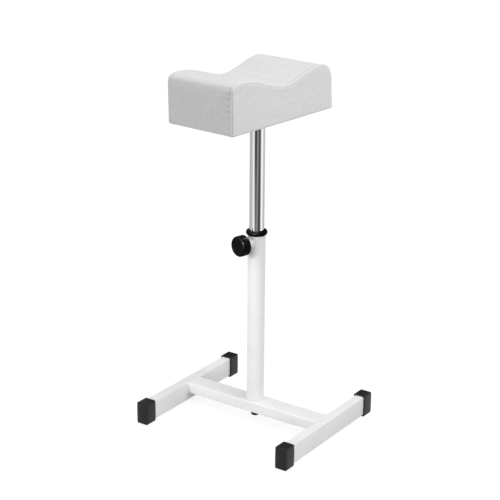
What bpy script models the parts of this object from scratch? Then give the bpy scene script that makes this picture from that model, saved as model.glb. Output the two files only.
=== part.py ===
"""Pedicure footrest: an H-shaped floor base of powder-coated tube, a post with a
hand clamp, a chrome height column and a wave-topped upholstered cushion.

Metres, +Z up. The origin is on the floor under the post. The crossbar runs along X
and the two floor rails along Y. The groove for the leg runs along the cushion's X.
"""

import math

import bmesh
import bpy
from mathutils import Vector

# Floor rails
rail_spacing = 0.286
rail_length = 0.266
rail_width = 0.0175
rail_height = 0.0345
rail_wall = 0.0015
rail_corner = 0.0025

# Push-on rail caps
cap_wall = 0.0017
cap_sole = 0.002
cap_end_wall = 0.002
cap_reach = 0.0215
cap_corner = 0.0035
cap_edge_bevel = 0.0012

# Crossbar
crossbar_width = 0.034
crossbar_height = 0.020
crossbar_wall = 0.0015
crossbar_corner = 0.0025

# Post and its threaded foot plug
post_wall = 0.0012
post_length = 0.300
foot_plug_height = 0.014

# Bolt under the crossbar
bolt_diameter = 0.008
bolt_head_across_flats = 0.013
bolt_head_height = 0.0055
bolt_end_margin = 0.001
washer_diameter = 0.017
washer_thickness = 0.0016
spring_washer_diameter = 0.0135
spring_washer_thickness = 0.0022
spring_washer_split = 0.0012

# Guide bush in the top of the post
bush_flange_overhang = 0.003
bush_flange_height = 0.0086
bush_sleeve_length = 0.024
bush_sleeve_wall = 0.0007
bush_entry_chamfer = 0.0008

# Hand clamp
clamp_drop = 0.0134
clamp_heading = -15.0
boss_diameter = 0.0155
boss_length = 0.0088
boss_chamfer = 0.0008
stud_diameter = 0.008
stud_in_knob = 0.0103
pad_length = 0.0042
knob_diameter = 0.035
knob_thickness = 0.0160
knob_stand_off = 0.0024
knob_face_chamfer = 0.0022
knob_back_chamfer = 0.0008
knob_round_share = 0.33
knob_dish = 0.0006
knob_dish_diameter = 0.025
knob_neck_diameter = 0.018
knob_neck_length = 0.0015

# Chrome height column
column_diameter = 0.025
column_wall = 0.0015
column_inside_post = 0.0871
column_above_post = 0.2025
end_plug_depth = 0.012
end_plug_flange = 0.003
guide_ring_length = 0.020
guide_ring_lift = 0.0008

# Mounting plate and its screws
plate_length = 0.100
plate_width = 0.070
plate_thickness = 0.003
plate_corner = 0.008
screw_edge_distance = 0.010
screw_diameter = 0.006
screw_head_diameter = 0.0115
screw_head_height = 0.0034
screw_length = 0.014
screw_socket_across_flats = 0.004
screw_socket_depth = 0.002
screw_crown_shares = ((0.86, 0.5), (0.55, 1.0))
tee_nut_flange_diameter = 0.018
tee_nut_flange_thickness = 0.0012
tee_nut_barrel_wall = 0.0007
tee_nut_barrel_length = 0.0085

# Cushion: outer sizes of the finished pad
cushion_length = 0.2545
cushion_width = 0.1335
near_crest_height = 0.0815
far_crest_height = 0.0775
valley_height = 0.0595
near_crest_place = 0.100
far_crest_place = 0.094
valley_place = 0.0045
near_corner_drop = 0.019
far_corner_drop = 0.040
near_corner_power = 3.4
far_corner_power = 2.5
bottom_corner = 0.004
side_bulge = 0.0040
strip_crown = 0.0018
end_bulge = 0.0020
side_shares = (0.3, 0.62, 0.86)
strip_shares = (-1.0, -0.55, 0.0, 0.55, 1.0)
cushion_heading = -5.0
cushion_offset_x = -0.0072
cushion_offset_y = -0.0052

# Cushion: what it is made of
cover_thickness = 0.001
hem_width = 0.022
board_thickness = 0.012
board_inset = 0.0044
board_corner = 0.008
piping_diameter = 0.0028
dust_cover_thickness = 0.0005
dust_cover_inset = 0.014

# Clearance between faces that touch, how far cutters run past a face, and how near
# two points are one
gap = 0.0003
overrun = 0.004
merge_distance = 0.00001

# Facets, and the angle that still shades as one smooth surface
tube_facets = 48
small_facets = 24
roll_facets = 8
corner_facets = 5
wave_steps = 18
corner_steps = 7
end_steps = 3
bottom_steps = 8
bevel_facets = 3
smooth_degrees = 32

# Heights and places that follow from the sizes above
rail_bottom = cap_sole + gap
rail_top = rail_bottom + rail_height
crossbar_length = rail_spacing - rail_width - 2 * gap
crossbar_bottom = rail_top - crossbar_height
post_bottom = rail_top + gap
post_top = post_bottom + post_length
post_bore = column_diameter + 2 * (gap + bush_sleeve_wall + gap)
post_diameter = post_bore + 2 * post_wall
bush_flange_diameter = post_diameter + 2 * bush_flange_overhang
clamp_height = post_top - clamp_drop
clearance_bore = stud_diameter + 2 * gap
boss_end = post_diameter / 2 + boss_length
knob_back = boss_end + knob_stand_off
stud_end = knob_back + stud_in_knob
column_bottom = post_top - column_inside_post
cushion_bottom = post_top + column_above_post
board_bottom = cushion_bottom + cover_thickness + gap
board_top = board_bottom + board_thickness
dust_cover_bottom = cushion_bottom - gap - dust_cover_thickness
plate_top = dust_cover_bottom - gap
plate_bottom = plate_top - plate_thickness
column_top = plate_bottom - gap
screw_hole = screw_diameter + 2 * gap
tee_nut_barrel_diameter = screw_hole + 2 * tee_nut_barrel_wall
half_turn = math.radians(180)
quarter_turn = math.radians(90)
diagonal = math.sqrt(0.5)

for old in list(bpy.data.objects):
    bpy.data.objects.remove(old, do_unlink=True)


def principled(name, colour, roughness, metallic=0.0):
    material = bpy.data.materials.new(name)
    material.use_nodes = True
    shader = material.node_tree.nodes["Principled BSDF"]
    shader.inputs["Base Color"].default_value = (*colour, 1.0)
    shader.inputs["Roughness"].default_value = roughness
    shader.inputs["Metallic"].default_value = metallic
    return material


white_coat = principled("white_powder_coat", (0.84, 0.84, 0.85), 0.38)
black_plastic = principled("black_moulded_plastic", (0.028, 0.028, 0.031), 0.45)
knob_plastic = principled("black_knob_plastic", (0.008, 0.008, 0.009), 0.28)
black_steel = principled("black_oxide_steel", (0.03, 0.03, 0.032), 0.4, 0.8)
zinc_steel = principled("zinc_plated_steel", (0.62, 0.62, 0.6), 0.32, 1.0)
chrome = principled("chrome_plate", (0.8, 0.8, 0.81), 0.06, 1.0)
nylon = principled("white_nylon", (0.8, 0.79, 0.74), 0.5)
vinyl = principled("pale_vinyl_leather", (0.72, 0.72, 0.73), 0.5)
plywood = principled("birch_plywood", (0.62, 0.45, 0.27), 0.65)
foam = principled("polyurethane_foam", (0.78, 0.72, 0.52), 0.9)
dust_cloth = principled("black_dust_cloth", (0.03, 0.03, 0.03), 0.9)


def empty(name, location, rotation):
    helper = bpy.data.objects.new(name, None)
    bpy.context.scene.collection.objects.link(helper)
    helper.location = location
    helper.rotation_euler = rotation
    return helper


def finished(name, bm, material, location=(0, 0, 0), rotation=(0, 0, 0), parent=None):
    """An object from a bmesh, shaded smooth with its hard edges kept."""
    bmesh.ops.remove_doubles(bm, verts=bm.verts, dist=merge_distance)
    bmesh.ops.recalc_face_normals(bm, faces=bm.faces)
    mesh = bpy.data.meshes.new(name)
    bm.to_mesh(mesh)
    bm.free()
    mesh.shade_smooth()
    mesh.set_sharp_from_angle(angle=math.radians(smooth_degrees))
    piece = bpy.data.objects.new(name, mesh)
    bpy.context.scene.collection.objects.link(piece)
    if material:
        mesh.materials.append(material)
    piece.location = location
    piece.rotation_euler = rotation
    piece.parent = parent
    return piece


def boolean(piece, tool, operation="DIFFERENCE"):
    modifier = piece.modifiers.new(tool.name, "BOOLEAN")
    modifier.operation = operation
    modifier.solver = "EXACT"
    modifier.object = tool
    tool.hide_render = True
    tool.display_type = "WIRE"


def rounded_outline(width, height, radius):
    """Corner-rounded rectangle about the origin, anticlockwise, as (across, up)."""
    points = []
    for corner, (side_x, side_y) in enumerate(((1, 1), (-1, 1), (-1, -1), (1, -1))):
        middle_x = side_x * (width / 2 - radius)
        middle_y = side_y * (height / 2 - radius)
        for step in range(corner_facets + 1):
            angle = quarter_turn * (corner + step / corner_facets)
            points.append((middle_x + radius * math.cos(angle), middle_y + radius * math.sin(angle)))
    return points


def loop_of(bm, points):
    """A closed loop of edges through the points."""
    verts = [bm.verts.new(point) for point in points]
    return [bm.edges.new((verts[i - 1], verts[i])) for i in range(len(verts))]


def raise_face(bm, faces, shift):
    grown = bmesh.ops.extrude_face_region(bm, geom=faces)["geom"]
    moved = [item for item in grown if isinstance(item, bmesh.types.BMVert)]
    bmesh.ops.translate(bm, verts=moved, vec=shift)


def slab(bm, outline, bottom, thickness):
    """A flat piece of the outline, standing on bottom."""
    edges = loop_of(bm, [(x, y, bottom) for x, y in outline])
    faces = bmesh.ops.contextual_create(bm, geom=edges)["faces"]
    raise_face(bm, faces, (0, 0, thickness))


def square_tube(name, width, height, wall, corner, length, heading, middle, material):
    """A rounded rectangular tube, lying along X before it is turned by heading."""
    bm = bmesh.new()
    start = -length / 2
    outer = rounded_outline(width, height, corner)
    inner = rounded_outline(width - 2 * wall, height - 2 * wall, corner - wall)
    edges = loop_of(bm, [(start, y, z) for y, z in outer])
    edges += loop_of(bm, [(start, y, z) for y, z in inner])
    ring = bmesh.ops.bridge_loops(bm, edges=edges)["faces"]
    raise_face(bm, ring, (length, 0, 0))
    return finished(name, bm, material, middle, (0, 0, heading))


def turned(name, profile, material, location=(0, 0, 0), rotation=(0, 0, 0), parent=None,
           facets=tube_facets):
    """The closed profile, as (radius, height), spun round Z."""
    bm = bmesh.new()
    edges = loop_of(bm, [(radius, 0, height) for radius, height in profile])
    verts = list({vert for edge in edges for vert in edge.verts})
    bmesh.ops.spin(bm, geom=verts + edges, cent=(0, 0, 0), axis=(0, 0, 1),
                   angle=2 * half_turn, steps=facets, use_merge=True)
    bmesh.ops.dissolve_degenerate(bm, dist=merge_distance, edges=bm.edges)
    return finished(name, bm, material, location, rotation, parent)


def sleeve_profile(outer, inner, bottom, top):
    return [(outer / 2, top), (outer / 2, bottom), (inner / 2, bottom), (inner / 2, top)]


def rod_profile(diameter, bottom, top):
    return [(0, top), (diameter / 2, top), (diameter / 2, bottom), (0, bottom)]


def round_cutter(name, diameter, bottom, top, location=(0, 0, 0), rotation=(0, 0, 0),
                 parent=None):
    return turned(name, rod_profile(diameter, bottom, top), None, location, rotation,
                  parent, small_facets)


def prism_cutter(name, across_flats, bottom, top, location=(0, 0, 0), parent=None):
    """A six-sided bar."""
    bm = bmesh.new()
    radius = across_flats / 2 / math.cos(half_turn / 6)
    corners = [(radius * math.cos(half_turn * i / 3), radius * math.sin(half_turn * i / 3))
               for i in range(6)]
    slab(bm, corners, bottom, top - bottom)
    return finished(name, bm, None, location, parent=parent)


def box_cutter(name, size, middle, parent=None):
    bm = bmesh.new()
    bmesh.ops.create_cube(bm, size=1)
    bmesh.ops.scale(bm, verts=bm.verts, vec=size)
    return finished(name, bm, None, middle, parent=parent)


def rails():
    for side, name in ((-1, "rail_left"), (1, "rail_right")):
        middle = (side * rail_spacing / 2, 0, rail_bottom + rail_height / 2)
        square_tube(name, rail_width, rail_height, rail_wall, rail_corner, rail_length,
                    quarter_turn, middle, white_coat)


def rail_cap(name, side, end):
    """A moulded shoe: a bevelled block with a pocket that the rail's end fills."""
    outer_width = rail_width + 2 * (cap_wall + gap)
    outer_height = cap_sole + rail_height + cap_wall + 2 * gap
    depth = cap_reach + gap + cap_end_wall
    bm = bmesh.new()
    outline = rounded_outline(outer_width, outer_height, cap_corner)
    edges = loop_of(bm, [(across, 0, up + outer_height / 2) for across, up in outline])
    face = bmesh.ops.contextual_create(bm, geom=edges)["faces"]
    raise_face(bm, face, (0, depth, 0))
    rim = [edge for edge in bm.edges if all(vert.co.y > depth / 2 for vert in edge.verts)]
    bmesh.ops.bevel(bm, geom=rim, offset=cap_edge_bevel, segments=bevel_facets, profile=0.5,
                    affect="EDGES", material=-1)
    inner_end = rail_length / 2 - cap_reach
    heading = 0 if end > 0 else half_turn
    place = (side * rail_spacing / 2, end * inner_end, 0)
    cap = finished(name, bm, black_plastic, place, (0, 0, heading))
    pocket = bmesh.new()
    outline = rounded_outline(rail_width + 2 * gap, rail_height + 2 * gap, rail_corner + gap)
    edges = loop_of(pocket, [(across, -overrun, up) for across, up in outline])
    face = bmesh.ops.contextual_create(pocket, geom=edges)["faces"]
    raise_face(pocket, face, (0, overrun + cap_reach + gap, 0))
    level = (place[0], place[1], rail_bottom + rail_height / 2)
    boolean(cap, finished(name + "_pocket", pocket, None, level, (0, 0, heading)))


def caps():
    for side, side_name in ((-1, "left"), (1, "right")):
        for end, end_name in ((-1, "near"), (1, "far")):
            rail_cap("rail_cap_" + side_name + "_" + end_name, side, end)


def crossbar():
    middle = (0, 0, crossbar_bottom + crossbar_height / 2)
    bar = square_tube("crossbar", crossbar_width, crossbar_height, crossbar_wall,
                      crossbar_corner, crossbar_length, 0, middle, white_coat)
    boolean(bar, round_cutter("crossbar_bolt_hole", bolt_diameter + 2 * gap,
                              crossbar_bottom - overrun, rail_top + overrun))


def base_bolt():
    washer_top = crossbar_bottom - gap
    washer_bottom = washer_top - washer_thickness
    turned("base_washer", sleeve_profile(washer_diameter, bolt_diameter + 2 * gap,
                                         washer_bottom, washer_top), zinc_steel)
    spring_top = washer_bottom - gap
    spring_bottom = spring_top - spring_washer_thickness
    spring = turned("base_spring_washer",
                    sleeve_profile(spring_washer_diameter, bolt_diameter + 2 * gap,
                                   spring_bottom, spring_top), zinc_steel)
    boolean(spring, box_cutter("spring_washer_slot",
                               (spring_washer_diameter, spring_washer_split,
                                spring_washer_thickness + 2 * overrun),
                               (spring_washer_diameter / 2, 0,
                                (spring_bottom + spring_top) / 2)))
    head_top = spring_bottom - gap
    head = prism_cutter("base_bolt", bolt_head_across_flats, head_top - bolt_head_height,
                        head_top)
    head.data.materials.append(black_steel)
    shank_top = post_bottom + foot_plug_height - bolt_end_margin
    boolean(head, round_cutter("base_bolt_shank", bolt_diameter,
                               head_top - bolt_head_height / 2, shank_top), "UNION")


def post():
    tube = turned("post_tube", sleeve_profile(post_diameter, post_bore, post_bottom,
                                              post_top), white_coat)
    boolean(tube, round_cutter("post_clamp_hole", clearance_bore, 0, post_diameter,
                               parent=clamp_axis))
    turned("post_foot_plug",
           sleeve_profile(post_bore - 2 * gap, bolt_diameter + 2 * gap, post_bottom,
                          post_bottom + foot_plug_height), zinc_steel)


def guide_bush():
    """A nylon collar with a rolled edge, and a thin sleeve that lines the post."""
    bore = column_diameter / 2 + gap
    sleeve = post_bore / 2 - gap
    flange_bottom = post_top + gap
    flange_top = flange_bottom + bush_flange_height
    roll = bush_flange_height / 2
    profile = [(bore, post_top - bush_sleeve_length), (bore, flange_top - bush_entry_chamfer),
               (bore + bush_entry_chamfer, flange_top)]
    for step in range(roll_facets + 1):
        angle = quarter_turn - half_turn * step / roll_facets
        profile.append((bush_flange_diameter / 2 - roll + roll * math.cos(angle),
                        flange_bottom + roll + roll * math.sin(angle)))
    profile += [(sleeve, flange_bottom), (sleeve, post_top - bush_sleeve_length)]
    bush = turned("guide_bush", profile, black_plastic)
    boolean(bush, round_cutter("bush_clamp_hole", clearance_bore, 0, post_diameter,
                               parent=clamp_axis))


def clamp():
    boss = turned("clamp_boss",
                  [(boss_diameter / 2 - boss_chamfer, boss_end),
                   (boss_diameter / 2, boss_end - boss_chamfer),
                   (boss_diameter / 2, post_bore / 2), (clearance_bore / 2, post_bore / 2),
                   (clearance_bore / 2, boss_end)],
                  white_coat, parent=clamp_axis, facets=small_facets)
    boolean(boss, round_cutter("boss_saddle", post_diameter + 2 * gap, -boss_diameter,
                               boss_diameter, (0, 0, clamp_height)))
    pad_start = column_diameter / 2 + gap
    stud_start = pad_start + pad_length + gap
    turned("clamp_pad", rod_profile(stud_diameter, pad_start, pad_start + pad_length), nylon,
           parent=clamp_axis, facets=small_facets)
    turned("clamp_stud", rod_profile(stud_diameter, stud_start, stud_end), zinc_steel,
           parent=clamp_axis, facets=small_facets)
    face = knob_back + knob_thickness
    eased = knob_face_chamfer * knob_round_share
    rim = knob_diameter / 2
    hole = stud_diameter / 2 + gap
    turned("clamp_knob",
           [(0, face - knob_dish), (knob_dish_diameter / 2, face - knob_dish),
            (knob_dish_diameter / 2 + knob_dish, face), (rim - knob_face_chamfer, face),
            (rim - eased, face - eased),
            (rim, face - knob_face_chamfer), (rim, knob_back + knob_back_chamfer),
            (rim - knob_back_chamfer, knob_back), (knob_neck_diameter / 2, knob_back),
            (knob_neck_diameter / 2, knob_back - knob_neck_length),
            (hole, knob_back - knob_neck_length), (hole, stud_end + gap),
            (0, stud_end + gap)],
           knob_plastic, parent=clamp_axis)


def column():
    turned("column_tube", sleeve_profile(column_diameter, column_diameter - 2 * column_wall,
                                         column_bottom, column_top), chrome, parent=column_axis)
    plug_radius = column_diameter / 2 - column_wall - gap
    flange_top = column_bottom - gap
    turned("column_end_plug",
           [(0, column_bottom + end_plug_depth), (plug_radius, column_bottom + end_plug_depth),
            (plug_radius, flange_top), (post_bore / 2 - 2 * gap, flange_top),
            (post_bore / 2 - 2 * gap, flange_top - end_plug_flange),
            (0, flange_top - end_plug_flange)], black_plastic, parent=column_axis)
    ring_bottom = column_bottom + guide_ring_lift
    turned("column_guide_ring",
           sleeve_profile(post_bore - 2 * gap, column_diameter + 2 * gap, ring_bottom,
                          ring_bottom + guide_ring_length), nylon, parent=column_axis)


def screw_places():
    for side_y in (-1, 1):
        for side_x in (-1, 1):
            yield (side_x * (plate_width / 2 - screw_edge_distance),
                   side_y * (plate_length / 2 - screw_edge_distance), 0)


def cut_screw_holes(piece, diameter, bottom, top):
    for number, place in enumerate(screw_places(), 1):
        boolean(piece, round_cutter(piece.name + "_hole_" + str(number), diameter, bottom, top,
                                    place, parent=column_axis))


def mounting_plate():
    bm = bmesh.new()
    slab(bm, rounded_outline(plate_width, plate_length, plate_corner), plate_bottom,
         plate_thickness)
    plate = finished("mounting_plate", bm, white_coat, parent=column_axis)
    cut_screw_holes(plate, screw_hole, plate_bottom - overrun,
                    plate_top + overrun)


def plate_screws():
    """Button-head screws from below, and the tee nuts let into the board from above."""
    head_top = plate_bottom - gap
    rim = screw_head_diameter / 2
    crown = screw_head_height
    nut_top = board_top - gap
    nut_seat = nut_top - tee_nut_flange_thickness
    for number, place in enumerate(screw_places(), 1):
        profile = [(0, head_top + screw_length), (screw_diameter / 2, head_top + screw_length),
                   (screw_diameter / 2, head_top), (rim, head_top)]
        profile += [(rim * out, head_top - crown * down) for out, down in screw_crown_shares]
        profile.append((0, head_top - crown))
        screw = turned("plate_screw_" + str(number), profile, zinc_steel, place,
                       parent=column_axis, facets=small_facets)
        boolean(screw, prism_cutter("screw_socket_" + str(number), screw_socket_across_flats,
                                    head_top - crown - overrun,
                                    head_top - crown + screw_socket_depth, place, column_axis))
        turned("tee_nut_" + str(number),
               [(screw_hole / 2, nut_top), (tee_nut_flange_diameter / 2, nut_top),
                (tee_nut_flange_diameter / 2, nut_seat), (tee_nut_barrel_diameter / 2, nut_seat),
                (tee_nut_barrel_diameter / 2, nut_seat - tee_nut_barrel_length),
                (screw_hole / 2, nut_seat - tee_nut_barrel_length)],
               zinc_steel, place, parent=column_axis, facets=small_facets)


def cushion_board():
    bm = bmesh.new()
    inset = cover_thickness + gap + board_inset
    slab(bm, rounded_outline(cushion_width - 2 * inset, cushion_length - 2 * inset,
                             board_corner), board_bottom, board_thickness)
    board = finished("cushion_board", bm, plywood, cushion_middle, parent=column_axis)
    pocket = tee_nut_flange_diameter / 2 + gap
    pocket_bottom = board_top - tee_nut_flange_thickness - 2 * gap
    hole = tee_nut_barrel_diameter / 2 + gap
    for number, place in enumerate(screw_places(), 1):
        seat = turned("board_seat_" + str(number),
                      [(0, board_top + overrun), (pocket, board_top + overrun),
                       (pocket, pocket_bottom), (hole, pocket_bottom),
                       (hole, board_bottom - overrun), (0, board_bottom - overrun)],
                      None, place, parent=column_axis, facets=small_facets)
        boolean(board, seat)


def dust_cover():
    bm = bmesh.new()
    slab(bm, rounded_outline(cushion_width - 2 * dust_cover_inset,
                             cushion_length - 2 * dust_cover_inset, board_corner),
         dust_cover_bottom, dust_cover_thickness)
    cloth = finished("cushion_dust_cover", bm, dust_cloth, cushion_middle, parent=column_axis)
    cut_screw_holes(cloth, screw_hole, dust_cover_bottom - overrun,
                    dust_cover_bottom + overrun)


def wave_height(place):
    """Top of the cushion along its length, between its two crests."""
    if place < valley_place:
        crest, reach = near_crest_height, near_crest_place + valley_place
    else:
        crest, reach = far_crest_height, far_crest_place - valley_place
    turn = half_turn * abs(place - valley_place) / reach
    return valley_height + (crest - valley_height) * (1 - math.cos(turn)) / 2


def corner_point(share, crest, crest_place, drop, power):
    """Upper corner beyond a crest: a squared-off quarter arc, share 0 at the crest."""
    turn = quarter_turn * share
    reach = cushion_length / 2 - crest_place
    along = crest_place + reach * math.sin(turn) ** (2 / power)
    return along, crest - drop * (1 - math.cos(turn) ** (2 / power))


def top_outline():
    """The cushion's edge from its near bottom, over the top, to its far bottom."""
    half = cushion_length / 2
    points = []
    for step in range(end_steps):
        up = step / end_steps
        level = bottom_corner + up * (near_crest_height - near_corner_drop - bottom_corner)
        points.append((-half - end_bulge * math.sin(half_turn * up), level))
    for step in range(corner_steps, 0, -1):
        along, level = corner_point(step / corner_steps, near_crest_height, near_crest_place,
                                    near_corner_drop, near_corner_power)
        points.append((-along, level))
    for step in range(wave_steps + 1):
        place = -near_crest_place + (near_crest_place + far_crest_place) * step / wave_steps
        points.append((place, wave_height(place)))
    for step in range(1, corner_steps + 1):
        points.append(corner_point(step / corner_steps, far_crest_height, far_crest_place,
                                   far_corner_drop, far_corner_power))
    for step in range(end_steps - 1, -1, -1):
        up = step / end_steps
        level = bottom_corner + up * (far_crest_height - far_corner_drop - bottom_corner)
        points.append((half + end_bulge * math.sin(half_turn * up), level))
    return points


def moved_in(points, inset):
    """The open outline, each point moved inwards square to it."""
    moved = []
    for i, (y, z) in enumerate(points):
        before = points[max(i - 1, 0)]
        after = points[min(i + 1, len(points) - 1)]
        run = Vector((after[0] - before[0], after[1] - before[1])).normalized()
        moved.append((y + inset * run.y, z - inset * run.x))
    return moved


def cushion_loop(inset, floor):
    """The closed outline at this inset, flat along floor, heights above the cushion's bottom."""
    over = moved_in(top_outline(), inset)
    over[0] = (over[0][0], max(over[0][1], floor + bottom_corner))
    over[-1] = (over[-1][0], max(over[-1][1], floor + bottom_corner))
    start = over[-1][0] - bottom_corner
    end = over[0][0] + bottom_corner
    under = [(start + (end - start) * step / bottom_steps, floor)
             for step in range(bottom_steps + 1)]
    return over + under


def cushion_shape(name, inset, floor, material):
    """The pad's form: crowned strip over ends and top, bulged side panels, and the edge
    between them cut back for the piping."""
    loop = cushion_loop(inset, floor)
    inner = cushion_loop(inset + piping_diameter / 2, floor)
    half = cushion_width / 2 - inset
    centre = Vector((0, (floor + valley_height) / 2))
    bm = bmesh.new()
    rings = []

    def ring(across, outline, share=1.0, crown=0.0):
        lifted = moved_in(outline + outline[:1], -crown)[:-1] if crown else outline
        points = [centre + (Vector(point) - centre) * share for point in lifted]
        flat = [max(point.y, floor) for point in points]
        rings.append(loop_of(bm, [(across, point.x, level) for point, level in zip(points, flat)]))

    for share in side_shares:
        ring(-half - side_bulge * (1 - share ** 2), inner, share)
    ring(-half, inner)
    for share in strip_shares:
        ring((half - piping_diameter / 2) * share, loop, 1.0, strip_crown * (1 - share ** 4))
    ring(half, inner)
    for share in reversed(side_shares):
        ring(half + side_bulge * (1 - share ** 2), inner, share)
    for first, second in zip(rings, rings[1:]):
        bmesh.ops.bridge_loops(bm, edges=first + second)
    for end in (rings[0], rings[-1]):
        bmesh.ops.contextual_create(bm, geom=end)
    return finished(name, bm, material, cushion_middle_bottom, parent=column_axis)


def cushion():
    inside = cover_thickness + gap
    block = cushion_shape("cushion_foam", inside, inside, foam)
    board_space = board_top + gap - cushion_bottom
    boolean(block, box_cutter("foam_board_space",
                              (cushion_width + 2 * overrun, cushion_length + 2 * overrun,
                               2 * board_space),
                              cushion_middle_bottom, column_axis))
    cover = cushion_shape("cushion_cover", 0, 0, vinyl)
    boolean(cover, cushion_shape("cover_inside", cover_thickness, cover_thickness, None))
    boolean(cover, box_cutter("cover_opening",
                              (cushion_width - 2 * hem_width, cushion_length - 2 * hem_width,
                               2 * overrun),
                              cushion_middle_bottom, column_axis))


def piping():
    """A corded edge along each side seam, from floor edge to floor edge over the top."""
    radius = piping_diameter / 2
    lift = (1 - diagonal) * radius + 2 * gap
    outline = moved_in(top_outline(), -lift * diagonal)
    for side, name in ((-1, "cushion_piping_left"), (1, "cushion_piping_right")):
        curve = bpy.data.curves.new(name, "CURVE")
        curve.dimensions = "3D"
        curve.bevel_depth = radius
        curve.bevel_resolution = 1
        curve.use_fill_caps = True
        spline = curve.splines.new("POLY")
        spline.points.add(len(outline) - 1)
        across = side * (cushion_width / 2 + lift * diagonal)
        for point, (y, z) in zip(spline.points, outline):
            point.co = (across, y, z, 1)
        curve.materials.append(vinyl)
        cord = bpy.data.objects.new(name, curve)
        bpy.context.scene.collection.objects.link(cord)
        cord.location = cushion_middle_bottom
        cord.parent = column_axis


clamp_axis = empty("clamp_axis", (0, 0, clamp_height),
                   (quarter_turn, 0, math.radians(clamp_heading)))
column_axis = empty("column_axis", (0, 0, 0), (0, 0, math.radians(cushion_heading)))
cushion_middle = (cushion_offset_x, cushion_offset_y, 0)
cushion_middle_bottom = (cushion_offset_x, cushion_offset_y, cushion_bottom)

rails()
caps()
crossbar()
base_bolt()
post()
guide_bush()
clamp()
column()
mounting_plate()
plate_screws()
cushion_board()
dust_cover()
cushion()
piping()
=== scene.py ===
"""Looks of the pedicure footrest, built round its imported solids.

Metres, +Z up, the origin on the floor under the post. The sections follow the object as
it is put together: floor base, post, hand clamp, column, then the cushion from its
mounting plate outwards.
"""

import math

import bmesh
import bpy
from mathutils import Matrix, Vector, kdtree, noise


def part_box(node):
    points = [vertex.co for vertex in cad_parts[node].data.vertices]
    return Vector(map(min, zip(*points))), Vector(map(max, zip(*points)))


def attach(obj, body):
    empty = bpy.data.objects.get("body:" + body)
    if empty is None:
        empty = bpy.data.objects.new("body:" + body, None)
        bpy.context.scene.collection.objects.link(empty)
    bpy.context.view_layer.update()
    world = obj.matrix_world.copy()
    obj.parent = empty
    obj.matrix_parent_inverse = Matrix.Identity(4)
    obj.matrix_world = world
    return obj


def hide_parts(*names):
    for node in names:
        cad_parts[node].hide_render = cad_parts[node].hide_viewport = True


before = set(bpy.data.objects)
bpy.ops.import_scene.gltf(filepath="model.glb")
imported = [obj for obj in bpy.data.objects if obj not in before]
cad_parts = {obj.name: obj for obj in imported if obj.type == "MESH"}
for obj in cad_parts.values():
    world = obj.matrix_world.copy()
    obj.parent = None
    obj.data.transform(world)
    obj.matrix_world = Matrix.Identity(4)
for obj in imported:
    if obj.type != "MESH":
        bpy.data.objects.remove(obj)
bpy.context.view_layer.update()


# Camera. It stands 2.5 m from the footrest, to the right of the front and a little above
# the cushion, with the long lens of a product photograph.
quarter_turn = math.radians(90)
camera_place = (1.29135, -1.88833, 1.11614)
camera_heading, camera_dip, camera_roll = map(math.radians, (34.641, 19.433, 0.412))


def linked(name, data):
    """A new object for the data, in the scene."""
    made = bpy.data.objects.new(name, data)
    bpy.context.scene.collection.objects.link(made)
    return made


camera = linked("camera", bpy.data.cameras.new("camera"))
camera.data.sensor_width = 36
camera.data.lens = 104.4
camera.matrix_world = (Matrix.Translation(camera_place)
                       @ Matrix.Rotation(camera_heading, 4, "Z")
                       @ Matrix.Rotation(quarter_turn - camera_dip, 4, "X")
                       @ Matrix.Rotation(camera_roll, 4, "Z"))
bpy.context.scene.camera = camera
bpy.context.scene.view_settings.view_transform = "Standard"


# Studio room. Plain white all round, as the camera and the polished parts see it, with a
# lower, even level of light on the object itself.
room_light = 0.67


def linear(code):
    """The linear colour of an sRGB hex value."""
    parts = [int(code[i:i + 2], 16) / 255 for i in (1, 3, 5)]
    return (*[part / 12.92 if part <= 0.04045 else ((part + 0.055) / 1.055) ** 2.4
              for part in parts], 1)


def bare_tree(owner):
    """The node tree of a world or a material, emptied."""
    owner.use_nodes = True
    owner.node_tree.nodes.clear()
    return owner.node_tree


def feed(tree, node, inputs):
    """Gives a node its inputs: a value is set, and a socket is linked."""
    for name, value in inputs.items():
        if isinstance(value, bpy.types.NodeSocket):
            tree.links.new(value, node.inputs[name])
        else:
            node.inputs[name].default_value = value


def add(tree, kind, inputs=None, **settings):
    """A new node with its settings and inputs."""
    made = tree.nodes.new("ShaderNode" + kind)
    for name, value in settings.items():
        setattr(made, name, value)
    feed(tree, made, inputs or {})
    return made


def seen_directly(tree):
    """1 for what the camera sees, also in polished or clear surfaces, and 0 for light."""
    path = add(tree, "LightPath").outputs
    glossy = add(tree, "Math", {0: path["Is Camera Ray"], 1: path["Is Glossy Ray"]},
                 operation="MAXIMUM")
    return add(tree, "Math", {0: glossy.outputs[0], 1: path["Is Transmission Ray"]},
               operation="MAXIMUM").outputs[0]


room = bpy.data.worlds.new("studio_room")
bpy.context.scene.world = room
tree = bare_tree(room)
lit = add(tree, "Background", {"Color": linear("#FFFFFF"), "Strength": room_light})
white = add(tree, "Background", {"Color": linear("#FFFFFF"), "Strength": 1.0})
both = add(tree, "MixShader", {0: seen_directly(tree), 1: lit.outputs[0], 2: white.outputs[0]})
add(tree, "OutputWorld", {"Surface": both.outputs[0]})


# Floor. A white sweep, bright enough to run out to white, that keeps a faint shadow of
# the object. From below it isn't there, so that the underside can be looked at.
floor_half = 20
floor_glow, floor_shade = 0.83, 0.25


def as_object(bm, name, material=None):
    """A new object with the bmesh, which is used up, as its mesh."""
    mesh = bpy.data.meshes.new(name)
    bm.to_mesh(mesh)
    bm.free()
    if material:
        mesh.materials.append(material)
    return linked(name, mesh)


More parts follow.
